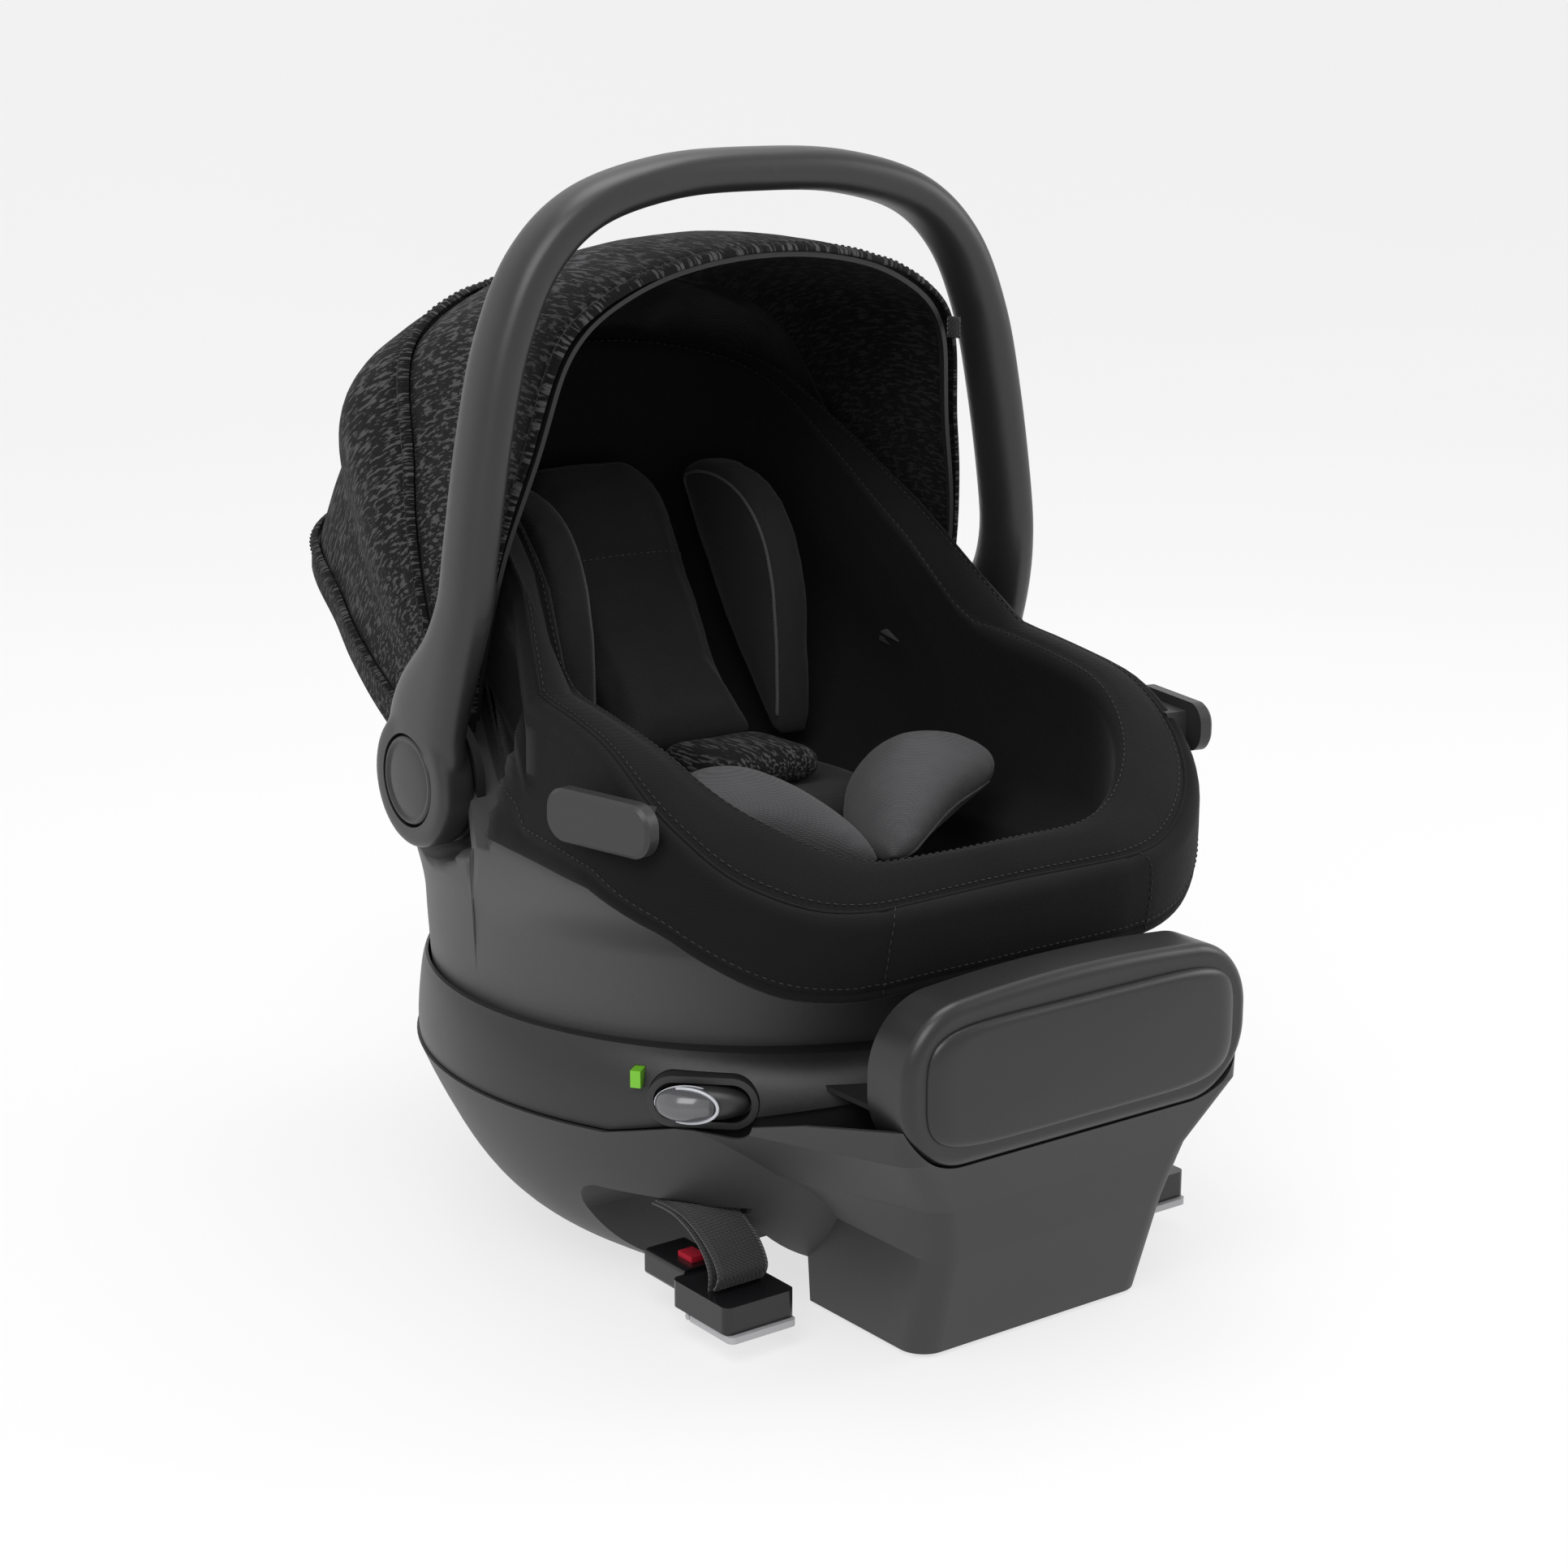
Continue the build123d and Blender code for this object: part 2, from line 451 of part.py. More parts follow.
keep_pair("handle_button", rod_x(CAP_R, -HUB_OUTER, -HUB_OUTER + CAP_THICK, HUB_Y, HUB_Z))

# ---- canopy -------------------------------------------------------------------------------------
# Half profile across the canopy: x, then distance from the pivot axis, as a share of the crown's.
CANOPY = [(0, 1.0), (60, 0.981), (98, 0.943), (122, 0.899), (141, 0.843), (153, 0.755), (163, 0.613),
          (174, 0.49), (182, 0.362), (186, 0.23), (187, 0.10)]
canopy_line = Spline(*[(x, CANOPY_R * share) for x, share in CANOPY], tangents=[(1, 0), (0, -1)])


def canopy_band(depth, thick, start, stop):
    """A band of the canopy between two angles, its outer face this deep inside the outline."""
    outer, inner = [], []
    count = 14
    for i in range(count + 1):
        t = i / count
        p, d = canopy_line @ t, canopy_line % t
        outer.append((p.X + d.Y * depth, p.Y - d.X * depth))
        inner.append((p.X + d.Y * (depth + thick), p.Y - d.X * (depth + thick)))
    top, low = Spline(*outer), Spline(*inner)
    half = make_face(top + Polyline(top @ 1, low @ 1) + low + Polyline(low @ 0, top @ 0))
    face = half + mirror(half, about=Plane.YZ)
    # The profile stands in the XY plane; +Y becomes the direction away from the pivot.
    turned = Rot(start, 0, 0) * face
    solid = revolve(turned, Axis.X, stop - start)
    return Pos(0, HUB_Y, HUB_Z) * solid


def eyelet(x0, x1, angle):
    """The ring of a canopy bow round the pivot, with the tab that carries the bow."""
    ring = rod_x(16.0, x0, x1, HUB_Y, HUB_Z)
    tab = Pos(0, HUB_Y, HUB_Z) * Rot(angle, 0, 0) * block(x0, x1, 0, 40, -5, 5)
    return pair(ring + tab - rod_x(PIVOT_R + BEARING_FIT, -300, 300, HUB_Y, HUB_Z))


rear_cut = side_profile([(-100, 197), (140, 305), (400, 422), (400, 100), (-100, 100)])
rear_panel = canopy_band(0, CANOPY_SKIN, 2, REAR_SEAM) - rear_cut
mid_panel = canopy_band(CANOPY_STEP, CANOPY_SKIN, REAR_SEAM + 0.6, MID_SEAM)
front_panel = canopy_band(2 * CANOPY_STEP, CANOPY_SKIN, MID_SEAM + 0.6, FRONT_SEAM)
bow_thick = 2 * BOW_HALF
rear_bow = canopy_band(CANOPY_SKIN + 0.3, 1.6, REAR_SEAM - 2, REAR_SEAM)
mid_bow = canopy_band(CANOPY_STEP + CANOPY_SKIN + 0.3, 1.6, MID_SEAM - 2, MID_SEAM)
front_bow = canopy_band(2 * CANOPY_STEP + CANOPY_SKIN + 0.3, bow_thick, FRONT_SEAM - 1.6, FRONT_SEAM - 0.4)
keep("canopy_rear_panel", rear_panel)
keep("canopy_mid_panel", mid_panel)
keep("canopy_front_panel", front_panel)
keep("canopy_rear_bow", rear_bow + eyelet(-190.4, -188.0, REAR_SEAM - 1))
keep("canopy_mid_bow", mid_bow + eyelet(-187.4, -184.0, MID_SEAM - 1))
keep("canopy_front_bow", front_bow + eyelet(-183.4, -179.4, FRONT_SEAM - 1))
tag = Pos(0, HUB_Y, HUB_Z) * Rot(FRONT_SEAM, 0, 0) * block(137.5, 138.5, 250, 262, 0.3, 9)
keep("canopy_tag", tag)

# ---- padding ------------------------------------------------------------------------------------
back_outline = [(196, 447), (216, 440), (219, 420), (181, 360), (139, 310), (96, 270), (84, 262), (66, 276),
                (112, 318), (155, 376), (184, 430)]
body_insert = side_profile(back_outline, 62)
body_insert = fillet(body_insert.faces().sort_by(Axis.X)[0].edges() + body_insert.faces().sort_by(Axis.X)[-1].edges(), 5)
keep("body_insert", body_insert)
wing_points = [(140, 428), (106, 421), (80, 396), (70, 358), (78, 322), (98, 306), (134, 334), (160, 386)]
wing_line = Spline(*[(0, y, z) for y, z in wing_points], periodic=True)
wing = Pos(-104, 0, 0) * extrude(make_face(wing_line), 28, dir=(1, 0, 0))
keep_pair("head_wing", wing)
hip_pad = Pos(-68, -92, 262) * Box(88, 66, 44)
keep_pair("hip_pad", fillet(hip_pad.edges(), 14))
belly_pad = block(-42, 42, -18, 60, 262, 288)
keep("belly_pad", fillet(belly_pad.edges(), 9))
cushion = block(-86, 86, -56, 60, 238, 261.4)
keep("seat_cushion", fillet(cushion.edges(), 7))
for name, shape in parts.items():
    export_step(shape, f"parts/{name}.step")
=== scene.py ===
import math

import bmesh
import bpy
import numpy as np
from mathutils import Matrix, Vector


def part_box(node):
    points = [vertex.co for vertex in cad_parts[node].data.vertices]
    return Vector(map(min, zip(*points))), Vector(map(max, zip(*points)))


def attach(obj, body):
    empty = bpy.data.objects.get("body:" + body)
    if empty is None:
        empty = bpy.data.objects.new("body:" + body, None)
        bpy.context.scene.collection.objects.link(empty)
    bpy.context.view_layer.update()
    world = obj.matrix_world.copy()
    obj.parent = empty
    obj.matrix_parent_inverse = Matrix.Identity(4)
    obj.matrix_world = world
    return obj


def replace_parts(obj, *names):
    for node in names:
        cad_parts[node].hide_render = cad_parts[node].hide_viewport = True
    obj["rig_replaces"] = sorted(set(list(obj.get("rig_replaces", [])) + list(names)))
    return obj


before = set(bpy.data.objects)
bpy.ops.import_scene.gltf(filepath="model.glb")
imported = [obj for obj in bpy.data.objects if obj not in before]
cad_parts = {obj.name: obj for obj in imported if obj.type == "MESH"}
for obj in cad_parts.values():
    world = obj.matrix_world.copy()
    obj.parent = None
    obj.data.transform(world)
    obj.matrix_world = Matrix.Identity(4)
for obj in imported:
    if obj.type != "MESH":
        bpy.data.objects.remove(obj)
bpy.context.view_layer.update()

bl_info = {
    "name": "Infant Car Seat",
    "version": (1, 0, 0),
    "blender": (4, 5, 0),
    "location": "View3D > Sidebar > Car Seat",
    "description": "Builds the visible skin of a rear-facing infant car seat around its CAD frame",
    "category": "Add Mesh",
}

MM = 0.001

# ---- the object's own shape, in millimetres, as the CAD source has it ---------------------------
HUB_Y, HUB_Z, HUB_OUTER, HUB_R = 50.0, 290.0, 221.0, 41.0
# Height, half width, front, rear, front corner and rear corner of the shell's outside.
HULL = np.array([
    (148.6, 203, -203, 203, 198, 198), (190, 205.5, -205.5, 205.5, 199, 201), (215, 207, -208, 208, 196, 204),
    (250, 211, -226, 216, 152, 203), (278, 206, -236, 228, 118, 200), (310, 196, -234, 254, 112, 190),
    (350, 180, -226, 292, 110, 172), (400, 154, -195, 322, 110, 148), (460, 142, -155, 294, 110, 134),
    (525, 130, -110, 244, 100, 120)], float)
# The same for the hollow that the baby lies in.
BOWL = np.array([
    (210, 80, -70, 58, 50, 50), (234, 115, -182, 78, 80, 66), (262, 146, -212, 104, 90, 84),
    (310, 156, -208, 146, 96, 100), (360, 146, -196, 188, 96, 104), (420, 128, -165, 226, 90, 104),
    (525, 117, -100, 229, 80, 94)], float)
# Top line of the cover and its lower outside edge, in side view.
RIM = np.array([(-270, 252), (-243, 256), (-214, 274), (-178, 303), (-120, 335), (-71, 345), (-22, 353),
                (34, 408), (100, 458), (186, 505), (250, 519), (360, 525)], float)
EDGE = np.array([(-300, 204), (-236, 206), (-222, 214), (-205, 228), (-180, 247), (-130, 266), (-6, 272),
                 (2, 330), (40, 388), (100, 432), (190, 476), (360, 500)], float)
# The shell's plan as the cover hangs round it: straight down below the foot end's lip.
DRAPE = np.array([(148.6, 196, -218, 210, 110, 200), (200, 201, -229, 210, 112, 200),
                  (235, 206.5, -235, 213, 118, 200), (262, 209, -237, 222, 124, 200), *HULL[4:].tolist()], float)
# Half profile of the canopy: x, and distance from the pivot axis.
CANOPY = np.array([(0, 318), (30, 316.5), (60, 312), (80, 306.5), (98, 300), (122, 286), (141, 268),
                   (153, 240), (163, 195), (174, 156), (182, 115), (186, 73), (187, 34)], float)
# Where each canopy panel ends, in degrees round the pivot axis; the steps by which one lies over the last.
REAR_SEAM, MID_SEAM, FRONT_SEAM = 24.0, 64.0, 103.0
MID_LIFT, FRONT_LIFT = 4.0, 8.0
PANEL_LAP = 1.5                 # degrees that a panel starts behind its neighbour's seam
SIDE_TUCK = 5.0                 # how far the canopy's cheeks pull in
# Half turn of the handle: x, y and z of the arm's middle, its thickness and its width.
ARM = np.array([(-209, 50, 290, 24, 70), (-209, 46, 310, 24.5, 74), (-209, 39, 332, 25, 68),
                (-207, 19, 366, 25.5, 48), (-203, 8, 398, 26, 41), (-199, 6, 432, 26, 40),
                (-189, 6, 492, 26, 40), (-176, 6, 545, 26, 40), (-154, 6, 590, 26, 40),
                (-118, 6, 620, 26, 40), (-62, 6, 635, 26, 40), (0, 6, 638, 26, 40)], float)
ARM_SIDES, ARM_SQUARENESS = 40, 2.5
# Edge of a hub disc: depth under its outer face and how far in from the rim.
HUB_EDGE = ((0, 5), (0.9, 2.2), (2.6, 0.7), (5, 0), (19, 0), (21.4, 0.7), (22.8, 2.2), (23.6, 4))
# A hub cap's half section: x and radius.
CAP = ((212.2, 1), (212.2, 25.5), (212.8, 26.6), (219.0, 26.8), (220.3, 26.2), (220.9, 25.2), (220.9, 24.0),
       (220.2, 23.3), (219.6, 22.8), (219.9, 21.8), (220.5, 18), (220.9, 12), (221.1, 6), (221.1, 0.5))
CAP_WELL = (28.2, 211.4, 226)   # radius, and x from and to
CAP_BORE = (9.6, 150, 226)
LEVER_REACH, LEVER_Z = 223.0, 142.0
LEVER_ANGLE = {"left": 226, "right": 314}
NOSE = (18.0, 11.5, 9.9)        # half length, depth and half height of the rotate lever's nose
STRAP_X, STRAP_WIDTH = 150.0, 35.0
# The anchor strap and its fold in side view: y and z.
STRAP = [(-124, 68.6), (-137, 69.4), (-149, 68.2), (-163, 63), (-174, 55), (-180, 45),
         (-180, 36), (-177.4, 26)]
FOLD = [(-127, 70.9), (-142, 71.6), (-156, 70), (-170, 64.5), (-182, 56), (-188, 47),
        (-187.4, 41), (-184, 35.8)]


# ---- numbers ------------------------------------------------------------------------------------
def smooth_curve(table, x):
    """Each column of the table at x, on a cubic that keeps to the points without overshooting."""
    keys, values = table[:, 0], table[:, 1:]
    step = np.diff(keys)
    slope = np.diff(values, axis=0) / step[:, None]
    tangent = np.zeros_like(values)
    same = slope[1:] * slope[:-1] > 0
    mean = 2 * slope[1:] * slope[:-1] / np.where(same, slope[1:] + slope[:-1], 1)
    tangent[1:-1] = np.where(same, mean, 0)
    tangent[0], tangent[-1] = slope[0], slope[-1]
    x = np.clip(np.asarray(x, float), keys[0], keys[-1])
    i = np.clip(np.searchsorted(keys, x) - 1, 0, len(step) - 1)
    h = step[i][..., None]
    t = ((x - keys[i]) / step[i])[..., None]
    return ((2 * t**3 - 3 * t**2 + 1) * values[i] + (t**3 - 2 * t**2 + t) * h * tangent[i]
            + (-2 * t**3 + 3 * t**2) * values[i + 1] + (t**3 - t**2) * h * tangent[i + 1])


def plan_loop(half, front, rear, front_r, rear_r, counts=(10, 14, 10, 16, 8)):
    """Points round a plan outline with its own corner radii, the same number whatever its size."""
    flat, corner, side, back_corner, back = counts
    points = []

    def run(a, b, n):
        points.extend((a[0] + (b[0] - a[0]) * k / n, a[1] + (b[1] - a[1]) * k / n) for k in range(n))

    def turn(cx, cy, r, a0, a1, n):
        for k in range(n):
            a = math.radians(a0 + (a1 - a0) * k / n)
            points.append((cx + r * math.cos(a), cy + r * math.sin(a)))

    run((-half + front_r, front), (half - front_r, front), flat)
    turn(half - front_r, front + front_r, front_r, -90, 0, corner)
    run((half, front + front_r), (half, rear - rear_r), side)
    turn(half - rear_r, rear - rear_r, rear_r, 0, 90, back_corner)
    run((half - rear_r, rear), (-half + rear_r, rear), back)
    turn(-half + rear_r, rear - rear_r, rear_r, 90, 180, back_corner)
    run((-half, rear - rear_r), (-half, front + front_r), side)
    turn(-half + front_r, front + front_r, front_r, 180, 270, corner)
    return np.array(points)


def resample(points, count, closed=False):
    """Points spread evenly along a polyline."""
    p = np.asarray(points, float)
    if closed:
        p = np.vstack([p, p[:1]])
    length = np.concatenate([[0], np.cumsum(np.linalg.norm(np.diff(p, axis=0), axis=1))])
    at = np.linspace(0, length[-1], count + 1)[:-1] if closed else np.linspace(0, length[-1], count)
    return np.stack([np.interp(at, length, p[:, k]) for k in range(p.shape[1])], 1)


def spline_through(points, count, closed=False):
    """A Catmull-Rom curve through the points."""
    p = np.asarray(points, float)
    n = len(p)
    spans = n if closed else n - 1
    out = []
    for i in range(spans):
        a, b, c, d = ((p[(i + k) % n] if closed else p[min(max(i + k, 0), n - 1)]) for k in (-1, 0, 1, 2))
        for t in np.linspace(0, 1, 12, endpoint=False):
            out.append(0.5 * (2 * b + (c - a) * t + (2 * a - 5 * b + 4 * c - d) * t**2
                              + (3 * b - a - 3 * c + d) * t**3))
    if not closed:
        out.append(p[-1])
    return resample(out, count, closed)


def around(count):
    """Angles evenly round a circle."""
    return np.linspace(0, 2 * np.pi, count, endpoint=False)


def bent(value, power):
    """A power that keeps the sign, for squared-off ovals."""
    return np.sign(value) * np.abs(value)**power


def up(z):
    return np.array([0, 0, z])


def ripple(p, scale, seed=0.0):
    """A soft, repeatable wave over points in millimetres, from -1 to 1."""
    q = np.asarray(p, float) / scale
    x, y, z = q[..., 0], q[..., 1], q[..., 2]
    return (np.sin(x * 1.7 + y * 0.9 + seed) * np.cos(z * 1.3 - x * 0.6 + 2 * seed)
            + 0.5 * np.sin(y * 2.9 - z * 2.3 + 3 * seed) * np.cos(x * 3.1 + seed)) / 1.5


# ---- meshes -------------------------------------------------------------------------------------
def new_piece(name, points, faces, material, uv=None, smooth=True):
    """A mesh piece from points in millimetres."""
    mesh = bpy.data.meshes.new(name)
    mesh.from_pydata([tuple(p) for p in np.asarray(points, float) * MM], [], faces)
    if uv is not None:
        layer = mesh.uv_layers.new(name="UVMap")
        for loop in mesh.loops:
            layer.data[loop.index].uv = uv[loop.vertex_index]
    mesh.validate()
    if smooth:
        mesh.polygons.foreach_set("use_smooth", [True] * len(mesh.polygons))
    obj = bpy.data.objects.new(name, mesh)
    bpy.context.scene.collection.objects.link(obj)
    if material:
        mesh.materials.append(material)
    return obj


def grid_faces(rows, columns, wrap_rows=False, wrap_columns=False, flip=False):
    faces = []
    for i in range(rows if wrap_rows else rows - 1):
        for j in range(columns if wrap_columns else columns - 1):
            a, b = i * columns + j, i * columns + (j + 1) % columns
            c = ((i + 1) % rows) * columns + (j + 1) % columns
            d = ((i + 1) % rows) * columns + j
            faces.append((a, d, c, b) if flip else (a, b, c, d))
    return faces


def grid_piece(name, grid, material, wrap_rows=False, wrap_columns=False, flip=False, uv=None, caps=False):
    """A piece from a grid of points, rows by columns."""
    grid = np.asarray(grid, float)
    rows, columns = grid.shape[:2]
    faces = grid_faces(rows, columns, wrap_rows, wrap_columns, flip)
    if caps:
        first, last = tuple(range(columns)), tuple(range((rows - 1) * columns, rows * columns))
        faces += [first[::-1], last] if not flip else [first, last[::-1]]
    return new_piece(name, grid.reshape(-1, 3), faces, material, None if uv is None else uv.reshape(-1, 2))


def fix_normals(obj, merge=0.0):
    mesh = bmesh.new()
    mesh.from_mesh(obj.data)
    if merge:
        bmesh.ops.remove_doubles(mesh, verts=mesh.verts, dist=merge * MM)
    bmesh.ops.recalc_face_normals(mesh, faces=mesh.faces)
    mesh.to_mesh(obj.data)
    mesh.free()
    return obj


def points_of(obj):
    """A piece's points, in millimetres."""
    return np.array([v.co for v in obj.data.vertices]) / MM


def set_points(obj, points):
    obj.data.vertices.foreach_set("co", (np.asarray(points) * MM).astype(np.float32).ravel())
    obj.data.update()


def apply_modifiers(obj):
    """Turns the evaluated object into a plain mesh."""
    graph = bpy.context.evaluated_depsgraph_get()
    result = obj.evaluated_get(graph)
    made = bpy.data.meshes.new_from_object(result, preserve_all_data_layers=True, depsgraph=graph)
    obj.modifiers.clear()
    old, obj.data = obj.data, made
    made.name = obj.name
    bpy.data.meshes.remove(old)
    made.polygons.foreach_set("use_smooth", [True] * len(made.polygons))
    return obj


def modify(obj, kind, **values):
    modifier = obj.modifiers.new(kind.title(), kind)
    for key, value in values.items():
        setattr(modifier, key, value)
    return modifier


def thicken(obj, thickness, offset=-1.0):
    modify(obj, "SOLIDIFY", thickness=thickness * MM, offset=offset, use_even_offset=False)
    return obj


def subdivide(obj, levels=1):
    modify(obj, "SUBSURF", levels=levels, render_levels=levels)
    return obj


def join(name, pieces):
    """Several pieces as one mesh, materials kept."""
    base = pieces[0]
    with bpy.context.temp_override(active_object=base, selected_editable_objects=pieces, object=base):
        bpy.ops.object.join()
    base.name = base.data.name = name
    return base


def mirrored(obj, name):
    """The same piece on the other side."""
    twin = obj.copy()
    twin.data = obj.data.copy()
    twin.name = twin.data.name = name
    if "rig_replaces" in twin:
        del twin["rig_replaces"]
    bpy.context.scene.collection.objects.link(twin)
    twin.data.transform(Matrix.Scale(-1, 4, (1, 0, 0)))
    twin.data.flip_normals()
    return twin


def tube(name, path, radius, material, sides=10, closed=False):
    """A round bead along a path, in millimetres."""
    path = np.asarray(path, float)
    n = len(path)
    if closed:
        tangent = np.roll(path, -1, 0) - np.roll(path, 1, 0)
    else:
        tangent = np.gradient(path, axis=0)
    tangent /= np.linalg.norm(tangent, axis=1)[:, None]
    side = np.cross(tangent[0], (0.3, 0.2, 0.93))
    side /= np.linalg.norm(side)
    rings = []
    for i in range(n):
        side = side - tangent[i] * (side @ tangent[i])
        side /= np.linalg.norm(side)
        up = np.cross(tangent[i], side)
        a = around(sides)[:, None]
        rings.append(path[i] + radius * (np.cos(a) * side + np.sin(a) * up))
    obj = grid_piece(name, rings, material, wrap_rows=closed, wrap_columns=True, caps=not closed)
    return fix_normals(obj)


def lathe_x(name, profile, y, z, material, sides=64):
    """A turned piece about an axis along X. The profile is x against radius."""
    a = around(sides)
    rings = [np.stack([np.full(sides, x), y + r * np.cos(a), z + r * np.sin(a)], 1) for x, r in profile]
    return fix_normals(grid_piece(name, rings, material, wrap_columns=True, caps=True))


def rounded_slab(name, outline, direction, depth, edge, material, crown=0.0, rings=5):
    """A slab on a closed outline of 3-D points: its front edge rounds over and its face may be crowned."""
    outline = np.asarray(outline, float)
    direction = np.asarray(direction, float) / np.linalg.norm(direction)
    centre = outline.mean(0)
    layers = [outline]
    reach = np.linalg.norm(outline - centre, axis=1).min()
    for k in range(rings + 1):
        a = math.pi / 2 * k / rings
        shrink = 1 - edge * (1 - math.cos(a)) / reach
        layers.append(centre + (outline - centre) * shrink + direction * (depth - edge + edge * math.sin(a)))
    for share in (0.75, 0.45, 0.15):
        base = layers[rings + 1]
        top = centre + direction * depth
        layers.append(top + (base - top) * share + direction * crown * (1 - share**2))
    return fix_normals(grid_piece(name, layers, material, wrap_columns=True, caps=True))


def puff(obj, cap, pressure=4.0, voxel=5.0, frames=20):
    """Swells a closed cushion by a short cloth simulation, no point moving further than the cap."""
    modify(obj, "REMESH", mode="VOXEL", voxel_size=voxel * MM, use_smooth_shade=True)
    apply_modifiers(obj)
    start = points_of(obj)
    cloth = obj.modifiers.new("Cloth", "CLOTH")
    cloth.settings.use_pressure = True
    cloth.settings.uniform_pressure_force = pressure
    cloth.settings.effector_weights.gravity = 0.0
    cloth.point_cache.frame_start, cloth.point_cache.frame_end = 1, frames
    for number in range(1, frames + 1):
        bpy.context.scene.frame_set(number)
    graph = bpy.context.evaluated_depsgraph_get()
    end = points_of(obj.evaluated_get(graph))
    obj.modifiers.clear()
    bpy.context.scene.frame_set(1)
    move = end - start
    size = np.linalg.norm(move, axis=1)[:, None]
    move *= np.minimum(1, cap / np.maximum(size, 1e-6))
    set_points(obj, start + move)
    return obj


def place(obj, body, replaces=()):
    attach(obj, body)
    if replaces:
        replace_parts(obj, *replaces)
    return obj


# ---- materials ----------------------------------------------------------------------------------
class Nodes:
    """Short calls for one material's node tree."""

    def __init__(self, name, color, roughness):
        self.material = bpy.data.materials.new(name)
        self.material.use_nodes = True
        self.tree = self.material.node_tree
        self.shader = self.tree.nodes["Principled BSDF"]
        self.shader.inputs["Base Color"].default_value = (*color, 1)
        self.shader.inputs["Roughness"].default_value = roughness

    def add(self, kind, links=(), **values):
        node = self.tree.nodes.new(kind)
        for key, value in values.items():
            if key in node.inputs:
                node.inputs[key].default_value = value
            else:
                setattr(node, key, value)
        for socket, source in links:
            self.tree.links.new(source, node.inputs[socket])
        return node

    def link(self, source, socket):
        self.tree.links.new(source, self.shader.inputs[socket])

    def place(self, scale, uv=False):
        where = self.add("ShaderNodeTexCoord")
        out = where.outputs["UV" if uv else "Object"]
        return self.add("ShaderNodeMapping", [("Vector", out)], Scale=scale).outputs[0]

    def noise(self, vector, scale=1.0, detail=2.0, rough=0.5):
        node = self.add("ShaderNodeTexNoise", [("Vector", vector)], Scale=scale, Detail=detail, Roughness=rough)
        return node.outputs[0]

    def waves(self, vector, scale, distortion, bands, detail=None):
        values = {} if detail is None else {"Detail": detail}
        node = self.add("ShaderNodeTexWave", [("Vector", vector)], Scale=scale, Distortion=distortion,
                        bands_direction=bands, **values)
        return node.outputs["Fac"]

    def sheen(self, weight, roughness=None, specular=None):
        self.shader.inputs["Sheen Weight"].default_value = weight
        if roughness is not None:
            self.shader.inputs["Sheen Roughness"].default_value = roughness
            self.shader.inputs["Specular IOR Level"].default_value = specular

    def ramp(self, source, stops):
        node = self.add("ShaderNodeValToRGB", [("Fac", source)])
        ramp = node.color_ramp
        while len(ramp.elements) < len(stops):
            ramp.elements.new(0.5)
        for element, (at, color) in zip(ramp.elements, stops):
            element.position = at
            element.color = (*color, 1) if hasattr(color, "__len__") else (color, color, color, 1)
        return node.outputs[0]

    def math(self, operation, a, b=None):
        node = self.tree.nodes.new("ShaderNodeMath")
        node.operation = operation
        for socket, value in zip(node.inputs, (a, b)):
            if value is None:
                continue
            if isinstance(value, (int, float)):
                socket.default_value = value
            else:
                self.tree.links.new(value, socket)
        return node.outputs[0]

    def mix(self, factor, a, b):
        node = self.tree.nodes.new("ShaderNodeMix")
        node.data_type = "RGBA"
        for socket, value in ((node.inputs[0], factor), (node.inputs[6], a), (node.inputs[7], b)):
            if isinstance(value, (int, float)):
                socket.default_value = value
            elif isinstance(value, tuple):
                socket.default_value = (*value, 1)
            else:
                self.tree.links.new(value, socket)
        return node.outputs[2]

    def bump(self, height, strength, distance, under=None):
        node = self.add("ShaderNodeBump", [("Height", height)], Strength=strength, Distance=distance)
        if under is not None:
            self.tree.links.new(under, node.inputs["Normal"])
        return node.outputs[0]


def shade(color, amount):
    return tuple(min(1.0, c * amount) for c in color)


def moulded_plastic(name, color, roughness, grain=0.25, specular=0.5):
    """Injection-moulded plastic: a fine spark-eroded grain, slow changes in tone, paler worn edges."""
    m = Nodes(name, color, roughness)
    fine = m.noise(m.place((1, 1, 1)), 1400, 3, 0.6)
    slow = m.noise(m.place((1, 1, 1)), 9, 3, 0.55)
    tone = m.ramp(slow, [(0.25, shade(color, 0.90)), (0.75, shade(color, 1.10))])
    speck = m.mix(m.ramp(fine, [(0.40, 0.0), (0.70, 1.0)]), tone, shade(color, 1.18))
    edge = m.ramp(m.add("ShaderNodeNewGeometry").outputs["Pointiness"], [(0.52, 0.0), (0.60, 1.0)])
    m.link(m.mix(m.math("MULTIPLY", edge, 0.35), speck, shade(color, 1.7)), "Base Color")
    m.link(m.math("ADD", m.math("MULTIPLY", slow, 0.14), roughness - 0.07), "Roughness")
    m.link(m.bump(fine, grain, 0.0004), "Normal")
    m.shader.inputs["Specular IOR Level"].default_value = specular
    return m.material


